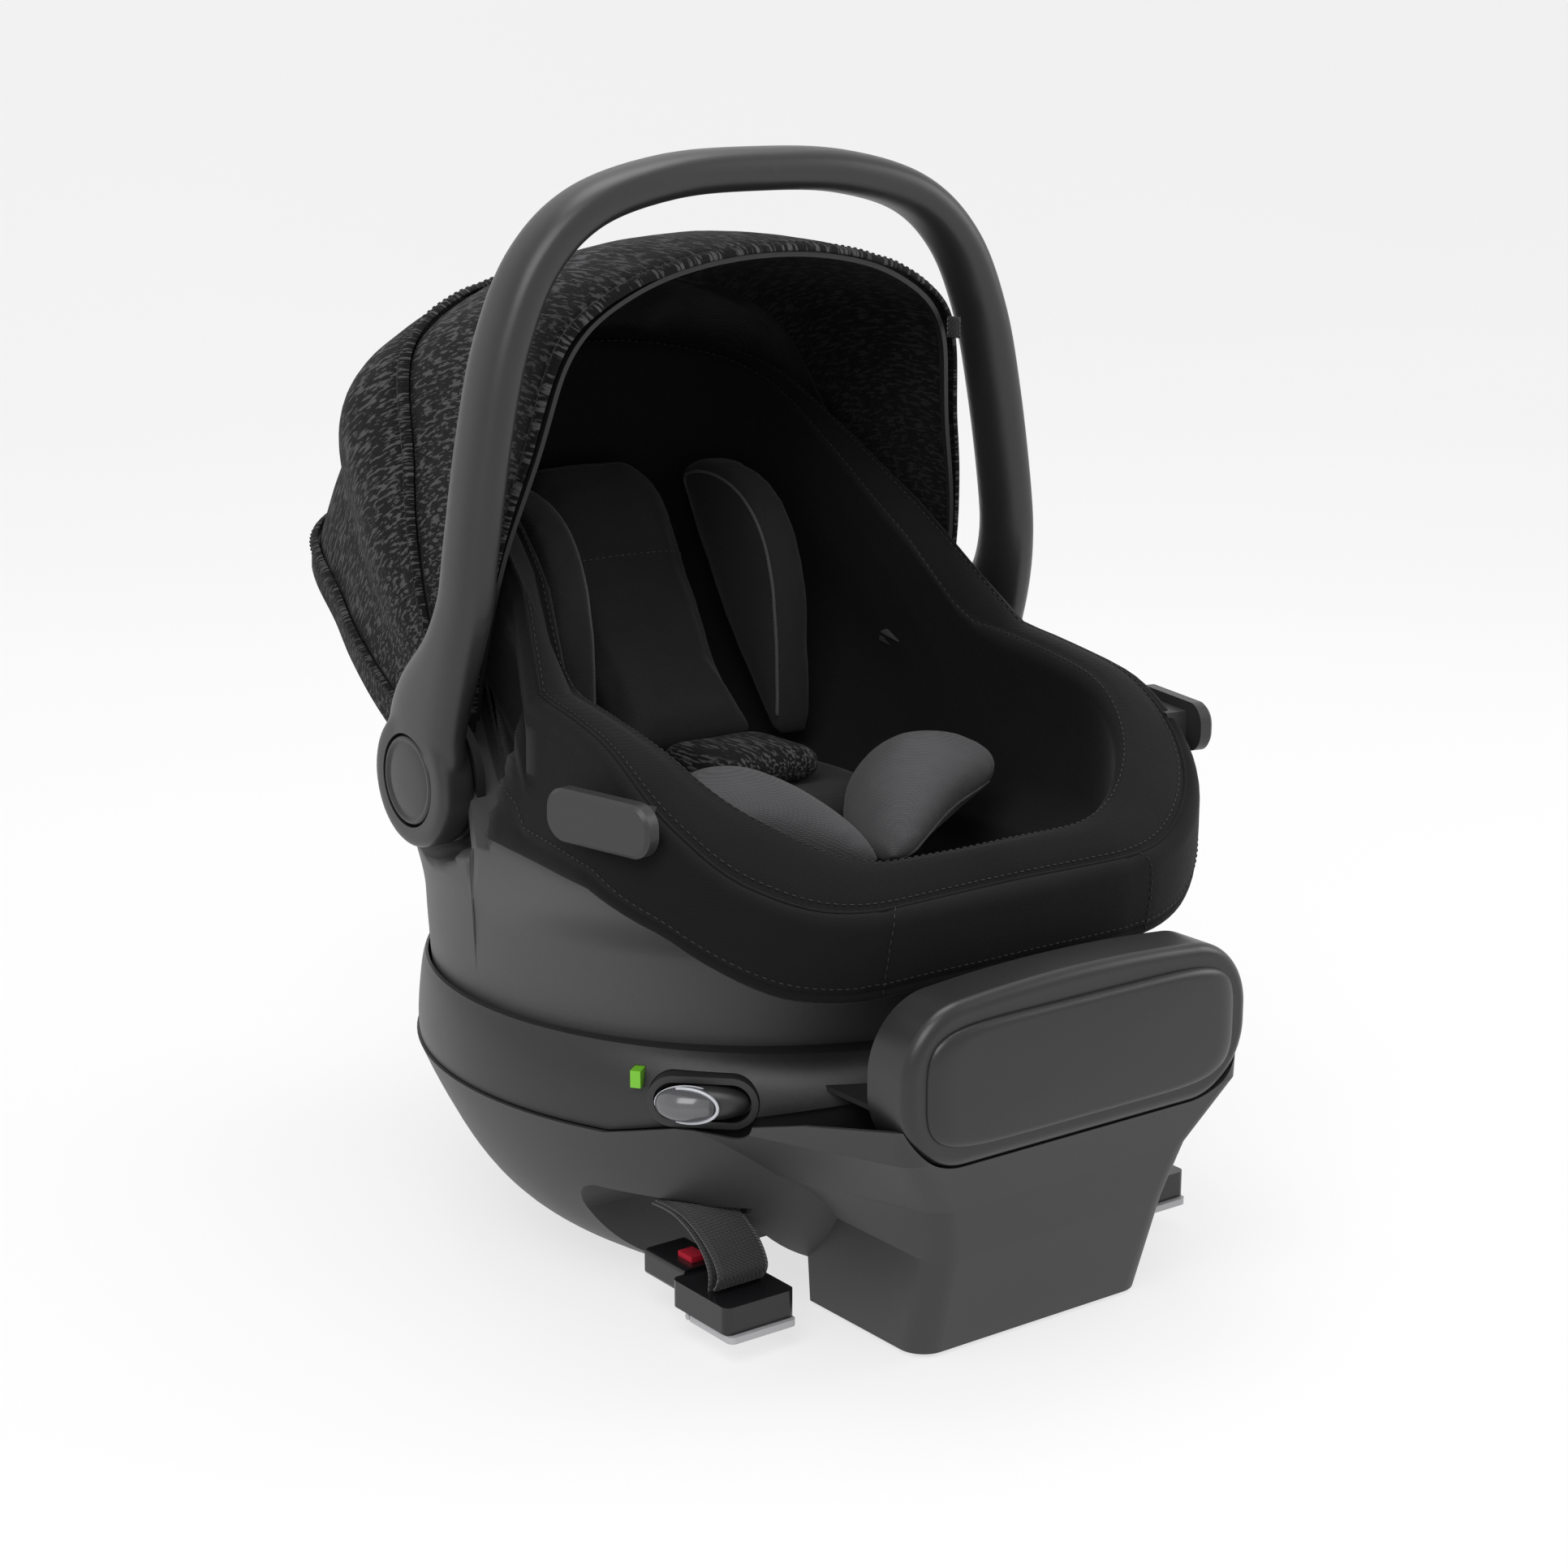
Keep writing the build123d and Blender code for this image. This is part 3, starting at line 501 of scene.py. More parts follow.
def knitted_fabric(name, color, pitch=1.3, fuzz=0.35, roughness=0.85):
    """A close knit: crossed waves for the loops, cloudy tone and a little fuzz."""
    m = Nodes(name, color, roughness)
    where = m.place((1000 / pitch, 1000 / pitch, 1000 / pitch))
    loops = m.math("MULTIPLY", m.waves(where, 0.32, 1.2, "DIAGONAL", 1.0), m.waves(where, 0.32, 1.2, "Z", 1.0))
    cloud = m.noise(m.place((1, 1, 1)), 22, 4, 0.6)
    tone = m.ramp(cloud, [(0.3, shade(color, 0.82)), (0.7, shade(color, 1.18))])
    fibre = m.noise(m.place((1, 1, 1)), 900, 2, 0.7)
    shown = m.mix(m.ramp(loops, [(0.1, 0.0), (0.8, 1.0)]), tone, shade(color, 1.35))
    m.link(m.mix(m.math("MULTIPLY", fibre, 0.35), shown, shade(color, 0.6)), "Base Color")
    soft = m.bump(m.noise(m.place((1, 1, 1)), 60, 3, 0.5), 0.25, 0.0016)
    m.link(m.bump(m.math("ADD", loops, m.math("MULTIPLY", fibre, 0.5)), 0.35, 0.0005, soft), "Normal")
    m.sheen(fuzz, 0.45, 0.16)
    return m.material


def heather_jersey(name, dark, light, uv=True):
    """Black jersey with short pale dashes that follow the cloth's second direction."""
    m = Nodes(name, dark, 0.88)
    dash = m.noise(m.place((460, 62, 460), uv), 1.0, 1, 0.4)
    small = m.noise(m.place((800, 170, 800), uv), 1.0, 1, 0.5)
    patch = m.noise(m.place((60, 24, 60), uv), 1.0, 2, 0.5)
    field = m.math("ADD", m.math("MULTIPLY", dash, 0.68), m.math("MULTIPLY", small, 0.32))
    field = m.math("ADD", field, m.math("MULTIPLY", m.math("SUBTRACT", patch, 0.5), 0.16))
    share = m.ramp(field, [(0.515, 0.0), (0.545, 0.55), (0.60, 1.0)])
    m.link(m.mix(share, dark, light), "Base Color")
    rib = m.waves(m.place((1, 1, 1), uv), 210, 0.6, "X", 1.0)
    crease = m.bump(m.noise(m.place((16, 34, 16), uv), 1.0, 3, 0.5), 0.45, 0.004)
    m.link(m.bump(m.math("ADD", rib, m.math("MULTIPLY", share, 0.7)), 0.45, 0.0007, crease), "Normal")
    m.sheen(0.04, 0.5, 0.12)
    return m.material


def woven_webbing(name, color):
    """Polyester webbing: a herringbone of fine diagonal ribs."""
    m = Nodes(name, color, 0.55)
    where = m.place((1000, 1000, 1000))
    rib, line = m.waves(where, 0.22, 0.3, "DIAGONAL"), m.waves(where, 0.12, 0.1, "X")
    field = m.math("ADD", rib, m.math("MULTIPLY", line, 0.6))
    m.link(m.mix(m.ramp(field, [(0.3, 0.0), (1.2, 1.0)]), shade(color, 0.7), shade(color, 2.2)), "Base Color")
    m.link(m.bump(field, 0.6, 0.0006), "Normal")
    m.sheen(0.2)
    return m.material


def bare_steel(name):
    m = Nodes(name, (0.42, 0.43, 0.45), 0.32)
    streak = m.noise(m.place((30, 900, 900)), 1.0, 3, 0.6)
    m.link(m.ramp(streak, [(0.3, (0.34, 0.35, 0.37)), (0.7, (0.55, 0.56, 0.58))]), "Base Color")
    m.link(m.math("ADD", m.math("MULTIPLY", streak, 0.25), 0.2), "Roughness")
    m.link(m.bump(streak, 0.1, 0.0002), "Normal")
    m.shader.inputs["Metallic"].default_value = 1.0
    return m.material


def stitch_thread(name, color):
    m = Nodes(name, color, 0.6)
    twist = m.waves(m.place((1, 1, 1)), 900, 0.5, "DIAGONAL")
    m.link(m.mix(twist, shade(color, 0.8), shade(color, 1.25)), "Base Color")
    m.link(m.bump(twist, 0.3, 0.0002), "Normal")
    return m.material


MATERIALS = {}


# Each plastic: its colour, or the colour group's name for it, then roughness, grain and highlight.
PLASTICS = {
    "shell": ("shell_plastic", "shell", 0.52, 0.30), "base": ("base_plastic", "base", 0.50, 0.30),
    "collar": ("collar_plastic", "collar", 0.42, 0.22), "bar": ("bar_plastic", "bar", 0.34, 0.14),
    "handle": ("handle_plastic", "handle", 0.38, 0.12),
    "hidden": ("hidden_plastic", (0.010, 0.010, 0.011), 0.5, 0.2),
    "guide": ("guide_plastic", "guide", 0.42, 0.2),
    "gloss_black": ("adjuster_plastic", (0.006, 0.006, 0.007), 0.22, 0.05),
    "lever": ("rotate_lever_plastic", "lever", 0.16, 0.02, 0.8),
    # Pale grey for the painted highlights: beads along the rotate lever nose's edge that stand in for light
    # caught there.
    "bright": ("bright_rim_plastic", (0.42, 0.43, 0.46), 0.16, 0.02, 0.9),
    "grey_lever": ("adjuster_lever_plastic", (0.30, 0.30, 0.31), 0.3, 0.08),
    "green": ("indicator_plastic", (0.12, 0.36, 0.015), 0.35, 0.04),
    "red": ("release_key_plastic", (0.42, 0.012, 0.03), 0.28, 0.05),
    "nylon": ("bearing_nylon", (0.70, 0.69, 0.64), 0.4, 0.1),
    "rubber": ("grip_rubber", (0.012, 0.012, 0.012), 0.75, 0.5, 0.3),
}


def build_materials(colors):
    made = MATERIALS
    for key, (name, color, *finish) in PLASTICS.items():
        color = tuple(getattr(colors, color)) if isinstance(color, str) else color
        made[key] = moulded_plastic(name, color, *finish)
    dark, light = tuple(colors.heather_dark), tuple(colors.heather_light)
    made["cover"] = knitted_fabric("cover_knit", tuple(colors.cover), 1.1, 0.05)
    made["insert"] = knitted_fabric("insert_knit", tuple(colors.insert), 1.2, 0.08)
    made["pads"] = knitted_fabric("pad_knit", tuple(colors.pads), 1.2, 0.08)
    made["lining"] = knitted_fabric("canopy_lining_knit", (0.0042, 0.0042, 0.0048), 1.0, 0.15)
    made["front_lining"] = heather_jersey(
        "front_lining_heather", (0.0032, 0.0032, 0.0035), (0.020, 0.020, 0.021))
    made["canopy"] = heather_jersey("canopy_heather", dark, light)
    made["heather_pad"] = heather_jersey("pad_heather", dark, light, False)
    made["webbing"] = woven_webbing("anchor_webbing_weave", (0.008, 0.008, 0.009))
    made["steel"] = bare_steel("bare_steel")
    made["thread"] = stitch_thread("dark_thread", (0.010, 0.010, 0.011))
    made["grey_thread"] = stitch_thread("grey_thread", (0.05, 0.05, 0.055))


# ---- repeated stitches, by Geometry Nodes -------------------------------------------------------
def stitch_tree(material):
    """Stitches set along a curve: Length, Gap and Thickness are named inputs."""
    tree = bpy.data.node_groups.new("stitch_row", "GeometryNodeTree")
    tree.interface.new_socket("Geometry", in_out="INPUT", socket_type="NodeSocketGeometry")
    for name, default in (("Length", 0.0032), ("Gap", 0.0016), ("Thickness", 0.0007)):
        socket = tree.interface.new_socket(name, in_out="INPUT", socket_type="NodeSocketFloat")
        socket.default_value, socket.subtype = default, "DISTANCE"
    tree.interface.new_socket("Geometry", in_out="OUTPUT", socket_type="NodeSocketGeometry")
    add, link = tree.nodes.new, tree.links.new
    given, result = add("NodeGroupInput"), add("NodeGroupOutput")
    to_curve, spaced = add("GeometryNodeMeshToCurve"), add("GeometryNodeResampleCurve")
    spaced.mode = "LENGTH"
    step = add("ShaderNodeMath")
    step.operation = "ADD"
    link(given.outputs["Length"], step.inputs[0])
    link(given.outputs["Gap"], step.inputs[1])
    link(given.outputs["Geometry"], to_curve.inputs[0])
    link(to_curve.outputs[0], spaced.inputs["Curve"])
    link(step.outputs[0], spaced.inputs["Length"])
    ball = add("GeometryNodeMeshUVSphere")
    ball.inputs["Segments"].default_value, ball.inputs["Rings"].default_value = 6, 4
    ball.inputs["Radius"].default_value = 0.5
    size = add("ShaderNodeCombineXYZ")
    link(given.outputs["Thickness"], size.inputs[0])
    link(given.outputs["Thickness"], size.inputs[1])
    link(given.outputs["Length"], size.inputs[2])
    along = add("GeometryNodeInputTangent")
    turn = add("FunctionNodeAlignRotationToVector")
    turn.axis = "Z"
    link(along.outputs[0], turn.inputs["Vector"])
    put = add("GeometryNodeInstanceOnPoints")
    link(spaced.outputs[0], put.inputs["Points"])
    link(ball.outputs["Mesh"], put.inputs["Instance"])
    link(turn.outputs[0], put.inputs["Rotation"])
    link(size.outputs[0], put.inputs["Scale"])
    real, paint = add("GeometryNodeRealizeInstances"), add("GeometryNodeSetMaterial")
    paint.inputs["Material"].default_value = material
    link(put.outputs[0], real.inputs[0])
    link(real.outputs[0], paint.inputs[0])
    link(paint.outputs[0], result.inputs[0])
    return tree


def stitch_row(name, paths, body, material_key="thread", length=3.2, gap=1.6, thick=0.8):
    """Rows of stitches along paths in millimetres, as one piece."""
    key = "stitch_" + material_key
    if key not in MATERIALS:
        MATERIALS[key] = stitch_tree(MATERIALS[material_key])
    points, edges = [], []
    for path in paths:
        start = len(points)
        points.extend(tuple(np.asarray(p) * MM) for p in path)
        edges.extend((start + k, start + k + 1) for k in range(len(path) - 1))
    mesh = bpy.data.meshes.new(name)
    mesh.from_pydata(points, edges, [])
    obj = bpy.data.objects.new(name, mesh)
    bpy.context.scene.collection.objects.link(obj)
    modifier = obj.modifiers.new("Stitches", "NODES")
    modifier.node_group = MATERIALS[key]
    names = {item.name: item.identifier for item in modifier.node_group.interface.items_tree
             if item.in_out == "INPUT"}
    for label, value in (("Length", length), ("Gap", gap), ("Thickness", thick)):
        modifier[names[label]] = value * MM
    apply_modifiers(obj)
    return place(obj, body)


# ---- the shell and its fabric cover -------------------------------------------------------------
LEVELS = np.linspace(148.6, 525, 190)
AROUND = (16, 22, 16, 24, 14)
ARM_ROOM = np.array([(80, 262), (4, 262), (-12, 330), (-40, 420), (-40, 640), (400, 640),
                     (400, 322), (130, 285)], float)


def soft_step(x):
    x = np.clip(x, 0, 1)
    return x * x * (3 - 2 * x)


def distance_outside(polygon, y, z):
    """How far points lie outside a polygon in side view; zero inside it."""
    y, z = np.asarray(y, float), np.asarray(z, float)
    near, inside = np.full(y.shape, 1e9), np.zeros(y.shape, bool)
    for a, b in zip(polygon, np.roll(polygon, -1, 0)):
        edge = b - a
        t = np.clip(((y - a[0]) * edge[0] + (z - a[1]) * edge[1]) / (edge @ edge), 0, 1)
        near = np.minimum(near, np.hypot(y - a[0] - t * edge[0], z - a[1] - t * edge[1]))
        crosses = (a[1] > z) != (b[1] > z)
        if edge[1]:
            inside ^= crosses & (y < a[0] + (z - a[1]) * edge[0] / edge[1])
    return np.where(inside, 0, near)


def narrowed(points, inner=0.0):
    """Draws points in where the handle's arms and the canopy need the room."""
    p = np.array(points, float)
    x, y, z = p[..., 0], p[..., 1], p[..., 2]
    arm = distance_outside(ARM_ROOM, y, z)
    hub = np.maximum(np.hypot(y - HUB_Y, z - HUB_Z) - HUB_R - 3, 0)
    rear = np.hypot(np.maximum(60 - y, 0), np.maximum(325 - z, 0))
    ahead = np.where((y < 20) & (z > 262), 30.0, 10.0)
    limit = np.minimum(167.6 + 60 * soft_step((np.minimum(arm, hub) - 1) / ahead),
                       161.6 + 70 * soft_step((rear - 1) / 10))
    p[..., 0] = np.sign(x) * np.minimum(np.abs(x), limit - inner)
    return p


def plan_columns(table, grow):
    rows = []
    for z in LEVELS:
        half, front, rear, front_r, rear_r = smooth_curve(table, z)
        rows.append(plan_loop(half + grow, front - grow, rear + grow, front_r + grow, rear_r + grow, AROUND))
    return np.array(rows)


def line_height(line, y):
    if line is RIM:
        return smooth_curve(RIM, y)[..., 0]
    return np.interp(y, line[:, 0], line[:, 1])


def column_tops(columns, line):
    """Where each column of a skin meets a line drawn in side view."""
    over = LEVELS[:, None] - line_height(line, columns[:, :, 1])
    tops = []
    for j in range(columns.shape[1]):
        i = int(np.argmax(over[:, j] >= 0)) or len(LEVELS) - 1
        a, b = over[i - 1, j], over[i, j]
        tops.append(LEVELS[i - 1] + (LEVELS[i] - LEVELS[i - 1]) * np.clip(-a / (b - a + 1e-9), 0, 1))
    return np.array(tops)


def on_columns(columns, heights):
    """Points at a height per column: heights has one row per ring and one entry per column."""
    out = np.empty(heights.shape + (3,))
    for j in range(columns.shape[1]):
        for k in (0, 1):
            out[:, j, k] = np.interp(heights[:, j], LEVELS, columns[:, j, k])
    out[:, :, 2] = heights
    return out


def grid_normals(grid, outwards=1.0):
    down = np.gradient(grid, axis=0)
    across = np.roll(grid, -1, 1) - np.roll(grid, 1, 1)
    normal = np.cross(across, down)
    return outwards * normal / np.maximum(np.linalg.norm(normal, axis=2, keepdims=True), 1e-9)


def build_shell():
    columns = plan_columns(HULL, 0)
    top = column_tops(columns, EDGE) + 7
    heights = np.linspace(148.8, top, 96)
    skin = narrowed(on_columns(columns, heights), 5.6)
    shell = grid_piece("seat_shell_skin", skin, MATERIALS["shell"], wrap_columns=True)
    thicken(shell, 3.0, -1)
    place(shell, "carrier", ["seat_shell"])


def build_cover(shape):
    outer, inner = plan_columns(DRAPE, 5.2), plan_columns(BOWL, 0)
    bottom, top_out, top_in = column_tops(outer, EDGE), column_tops(outer, RIM), column_tops(inner, RIM)
    wrap = on_columns(outer, bottom + (top_out - 9 - bottom) * np.linspace(0, 1, 26)[:, None])
    hem = on_columns(plan_columns(DRAPE, -3), bottom[None, :] + 4)
    mid_hem = on_columns(plan_columns(DRAPE, 2.6), bottom[None, :] - 1.6)
    wrap, hem, mid_hem = narrowed(wrap), narrowed(hem, 5.2), narrowed(mid_hem, 1.5)
    lining = on_columns(inner, 236 + (top_in - 9 - 236) * np.linspace(1, 0, 40)[:, None])
    high, low = wrap[-1].copy(), lining[0].copy()
    high[:, 2], low[:, 2] = top_out, top_in
    across = low - high
    across[:, 2] = 0
    width = np.linalg.norm(across, axis=1)[:, None]
    across /= width
    radius = np.minimum(9, width * 0.42)
    rows = []
    for a in np.radians((18, 36, 54, 72, 90)):
        p = high + across * radius * (1 - math.cos(a))
        p[:, 2:] = high[:, 2:] - 9 + 9 * math.sin(a)
        rows.append(p)
    start, end = rows[-1].copy(), low - across * radius
    for t in (0.12, 0.3, 0.5, 0.7, 0.88):
        p = start + (end - start) * t
        p[:, 2] += 2.2 * math.sin(math.pi * t)
        rows.append(p)
    for a in np.radians((90, 72, 54, 36, 18)):
        p = low - across * radius * (1 - math.cos(a))
        p[:, 2:] = low[:, 2:] - 9 + 9 * math.sin(a)
        rows.append(p)
    floor = []
    for share, z in ((0.985, 226), (0.93, 218), (0.8, 212), (0.55, 210), (0.25, 209.5), (0.02, 209.5)):
        p = lining[-1].copy()
        p[:, :2] = np.array([0, -50]) + (p[:, :2] - np.array([0, -50])) * share
        p[:, 2] = z
        floor.append(p)
    grid = np.concatenate([hem, mid_hem, wrap, np.array(rows), lining, np.array(floor)])
    normal = grid_normals(grid)
    grid = grid + normal * 0.5 * ripple(grid, 34, 1.3)[..., None]
    crest, lip = 2 + 26 + 4, 2 + 26 + 10
    for row in (crest, lip, 2 + 3):
        grid[row] -= normal[row] * 1.1
    columns = grid.shape[1]
    front = [int(np.argmin(np.abs(grid[10, :, 0] - x) + 10 * (grid[10, :, 1] > -150))) for x in (-96, 96)]
    sides = [int(np.argmin(np.abs(grid[60, :, 1] - y) + 10 * (grid[60, :, 0] * s < 0)))
             for s in (-1, 1) for y in (-110, 40)]
    for j in front:
        grid[3:crest, j] -= normal[3:crest, j] * 1.1
    for j in sides:
        steps = np.arange(78 - lip - 4)
        fade = soft_step(np.minimum(steps, steps[::-1]) / 9.0)[:, None]
        grid[lip + 4:78, j] -= normal[lip + 4:78, j] * fade
    cover = grid_piece("seat_cover_fabric", grid, MATERIALS["cover"], wrap_columns=True, flip=False)
    fix_normals(cover)
    thicken(cover, 1.4, -1)
    place(cover, "carrier", ["seat_cover"])
    flat = laid_flat(grid, closed=True)
    ring = np.append(np.arange(columns), 0)
    lines = [grid[crest + 1, ring] + normal[crest + 1, ring] * 0.25, grid[2 + 5, ring] + normal[7, ring] * 0.25,
             grid[lip + 1, ring] + normal[lip + 1, ring] * 0.25]
    for j in front:
        k = (j + 1) % columns
        lines.append(grid[4:crest, k] + normal[4:crest, k] * 0.2)
    stitch_row("seat_cover_stitches", lines, "carrier", "thread", 1000 * shape.stitch_length)
    crest_line = grid[crest] + normal[crest] * 0.2
    piping = tube("seat_cover_piping", crest_line, 1000 * shape.piping, MATERIALS["cover"], 8, True)
    place(piping, "carrier")
    return cover


# ---- the canopy ---------------------------------------------------------------------------------
def canopy_profile(count):
    full = np.vstack([CANOPY[::-1] * [-1, 1], CANOPY[1:]])
    line = spline_through(full, count)
    along = np.gradient(line, axis=0)
    along /= np.linalg.norm(along, axis=1)[:, None]
    inward = np.stack([along[:, 1], -along[:, 0]], 1)
    length = np.concatenate([[0], np.cumsum(np.linalg.norm(np.diff(line, axis=0), axis=1))])
    return line, inward, length


def canopy_grid(angles, depth, count=150):
    """angles and depth: rows by columns, in degrees and millimetres under the outermost layer."""
    line, inward, length = canopy_profile(count)
    x = line[:, 0] + inward[:, 0] * depth
    r = line[:, 1] + inward[:, 1] * depth
    a = np.radians(angles)
    points = np.stack([x, HUB_Y + r * np.cos(a), HUB_Z + r * np.sin(a)], 2)
    uv = np.stack([np.broadcast_to(length * MM, angles.shape), a * 0.318], 2)
    return points, uv


def laid_flat(grid, closed=False):
    """The cloth's longest run along its rows and its widest run across them, in metres, as it is built."""
    rows = np.concatenate([grid, grid[:, :1]], axis=1) if closed else grid
    along = np.linalg.norm(np.diff(rows, axis=1), axis=2).sum(1).max()
    across = np.linalg.norm(np.diff(grid, axis=0), axis=2).sum(0).max()
    return float(along * MM), float(across * MM)


def build_canopy_panel(name, start, end, depth, body, node, hem=False, cut=False, seed=0.0, fullness=0.0):
    count = 150
    line = canopy_profile(count)[0]
    r = line[:, 1]
    first = np.full(count, float(start))
    if cut:
        lean = np.arcsin(np.clip(-25.5 / (r * 1.0966), -1, 1)) + math.atan(0.45)
        first = np.maximum(start, np.degrees(lean))
        first = np.minimum(first, end - 2.6)
    back = np.array([0, 0.1, 0.3, 0.7, 1.3, 2.0, 2.2, 2.5, 3.0, 4.0])
    body_rows = np.linspace(0, 1, 30)[:-1]
    angles, extra = [], []
    for t in body_rows:
        angles.append(first + (end - 4.0 - first) * t if not cut else first + (end - 2.5 - first) * t)
        extra.append(0.0)
    for a in back[::-1]:
        if cut and a > 2.2:
            continue
        angles.append(np.full(count, end - a))
        extra.append(a)
    angles = np.array(angles)
    fade = np.clip(r / 130, 0.12, 1)
    away = end - angles
    sleeve = np.where((away > 0.1) & (away < 2.1), np.sin(np.pi * np.clip((away - 0.1) / 2.0, 0, 1))**0.7, 0)
    deep = depth - (1.6 if hem else 2.3) * sleeve * fade
    deep += 0.8 * np.exp(-((away - 2.25) / 0.22)**2) * fade
    deep += 1.7 * np.exp(-(away / 0.12)**2)
    side_share = np.clip(1 - np.abs(np.abs(line[:, 0]) - 148) / 90, 0.25, 1) * np.clip((r - 60) / 120, 0, 1)
    deep -= SIDE_TUCK * soft_step((angles - 12) / 10) * side_share
    deep -= fullness * np.sin(np.pi * np.clip((angles - 36) / 27.5, 0, 1))**1.1 * side_share
    span = np.clip((angles - first) / np.maximum(end - first, 1e-6), 0, 1)
    quiet = soft_step(np.minimum(away - 2.4, (angles - first) * 1.2) / 4.0)
    sag = 0.0 if cut else 3.0
    sag = sag * np.sin(np.pi * span) * np.clip(r / 250, 0.1, 1) * soft_step((away - 2.3) / 6)
    points, _ = canopy_grid(angles, deep)
    wave = ripple(points, 30, seed) * 0.45 + ripple(points * [1, 0.4, 0.4], 13, seed + 2) * 0.25
    points, uv = canopy_grid(angles, deep + sag + wave * quiet)
    panel = grid_piece(name, points, MATERIALS["canopy"], uv=uv)
    fix_normals(panel)
    if panel.data.polygons[len(panel.data.polygons) // 2].normal.dot(Vector((0, 0.3, 1))) < 0:
        panel.data.flip_normals()
    area = sum(face.area for face in panel.data.polygons)
    panel.data.materials.append(MATERIALS["front_lining" if hem else "lining"])
    modify(panel, "SOLIDIFY", thickness=1.5 * MM, offset=-1.0, material_offset=1, material_offset_rim=0)
    place(panel, body, [node])
    return panel, points, area


def build_canopy(shape):
    rear, rear_grid, rear_area = build_canopy_panel(
        "canopy_rear_fabric", 2.0, REAR_SEAM, 0, "carrier", "canopy_rear_panel", cut=True, seed=0.4)
    mid, mid_grid, mid_area = build_canopy_panel(
        "canopy_mid_fabric", REAR_SEAM - PANEL_LAP, MID_SEAM, MID_LIFT, "canopy_middle", "canopy_mid_panel",
        seed=1.7, fullness=17.0)
    front, front_grid, front_area = build_canopy_panel(
        "canopy_front_fabric", MID_SEAM - PANEL_LAP, FRONT_SEAM, FRONT_LIFT, "canopy_front",
        "canopy_front_panel", hem=True, seed=3.1)
    for panel, grid, area, bow in ((rear, rear_grid, rear_area, "canopy_rear_bow"),
                                   (mid, mid_grid, mid_area, "canopy_mid_bow"),
                                   (front, front_grid, front_area, "canopy_front_bow")):
        laid_flat(grid)
    length = 1000 * shape.stitch_length
    for label, grid, body in (("rear", rear_grid, "carrier"), ("mid", mid_grid, "canopy_middle"),
                              ("front", front_grid, "canopy_front")):
        line = grid[-5] + 0.0
        normal = line - np.array([0, HUB_Y, HUB_Z])
        normal /= np.linalg.norm(normal, axis=1)[:, None]
        row = line[6:-6] + normal[6:-6] * 0.3
        stitch_row("canopy_%s_stitches" % label, [row], body, "thread", length, 1.8, 0.9)
    low, high = (np.array(v) * 1000 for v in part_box("canopy_tag"))
    middle = (low + high) / 2
    strip = []
    for t in np.linspace(0, 1, 9):
        bend = 1.4 * math.sin(math.pi * t)
        back = low[1] - middle[1] + 12 * (t - 0.15)
        strip.append([middle + [0.6 + 0.5 * bend, back, s] for s in np.linspace(-6.5, 6.5, 5)])
    tag = grid_piece("canopy_side_tag", np.array(strip), MATERIALS["webbing"])
    fix_normals(tag)
    thicken(tag, 0.8, 0)
    place(tag, "canopy_front", ["canopy_tag"])


# ---- pads ---------------------------------------------------------------------------------------
def copy_of_node(node, name, shrink=1.5):
    """A cushion's start: the CAD solid's own mesh, drawn in a little."""
    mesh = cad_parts[node].data.copy()
    mesh.name = name
    mesh.materials.clear()
    obj = bpy.data.objects.new(name, mesh)
    bpy.context.scene.collection.objects.link(obj)
    fix_normals(obj, 0.02)
    points = points_of(obj)
    low, high = points.min(0), points.max(0)
    centre = (low + high) / 2
    set_points(obj, centre + (points - centre) * (1 - 2 * shrink / (high - low)))
    return obj


def reshape(obj, change):
    set_points(obj, change(points_of(obj)))
    return obj


def soften(obj, passes=6, factor=0.5):
    modify(obj, "SMOOTH", factor=factor, iterations=passes)
    return apply_modifiers(obj)


def finish_pad(obj, material, body, node, fill, wave=0.4, seed=0.0):
    obj.data.materials.clear()
    obj.data.materials.append(MATERIALS[material])
    obj.data.polygons.foreach_set("use_smooth", [True] * len(obj.data.polygons))
    points, normal = points_of(obj), np.array([v.normal for v in obj.data.vertices])
    set_points(obj, points + normal * wave * ripple(points, 17, seed)[:, None])
    subdivide(obj, 1)
    place(obj, body, [node])
    return obj


def lay_on(obj, path, direction, lift=0.3):
    """The path dropped onto a piece along a direction, so that a seam lies on the puffed cloth."""
    from mathutils.bvhtree import BVHTree
    tree = BVHTree.FromObject(obj, bpy.context.evaluated_depsgraph_get())
    way = Vector(direction).normalized()
    out = []
    for p in np.asarray(path, float):
        start = Vector(p * MM) - way * 0.12
        hit, normal, _, _ = tree.ray_cast(start, way)
        if hit is None:
            hit, normal, _, _ = tree.find_nearest(Vector(p * MM))
        out.append(np.array(hit + normal * lift * MM) * 1000)
    return np.array(out)


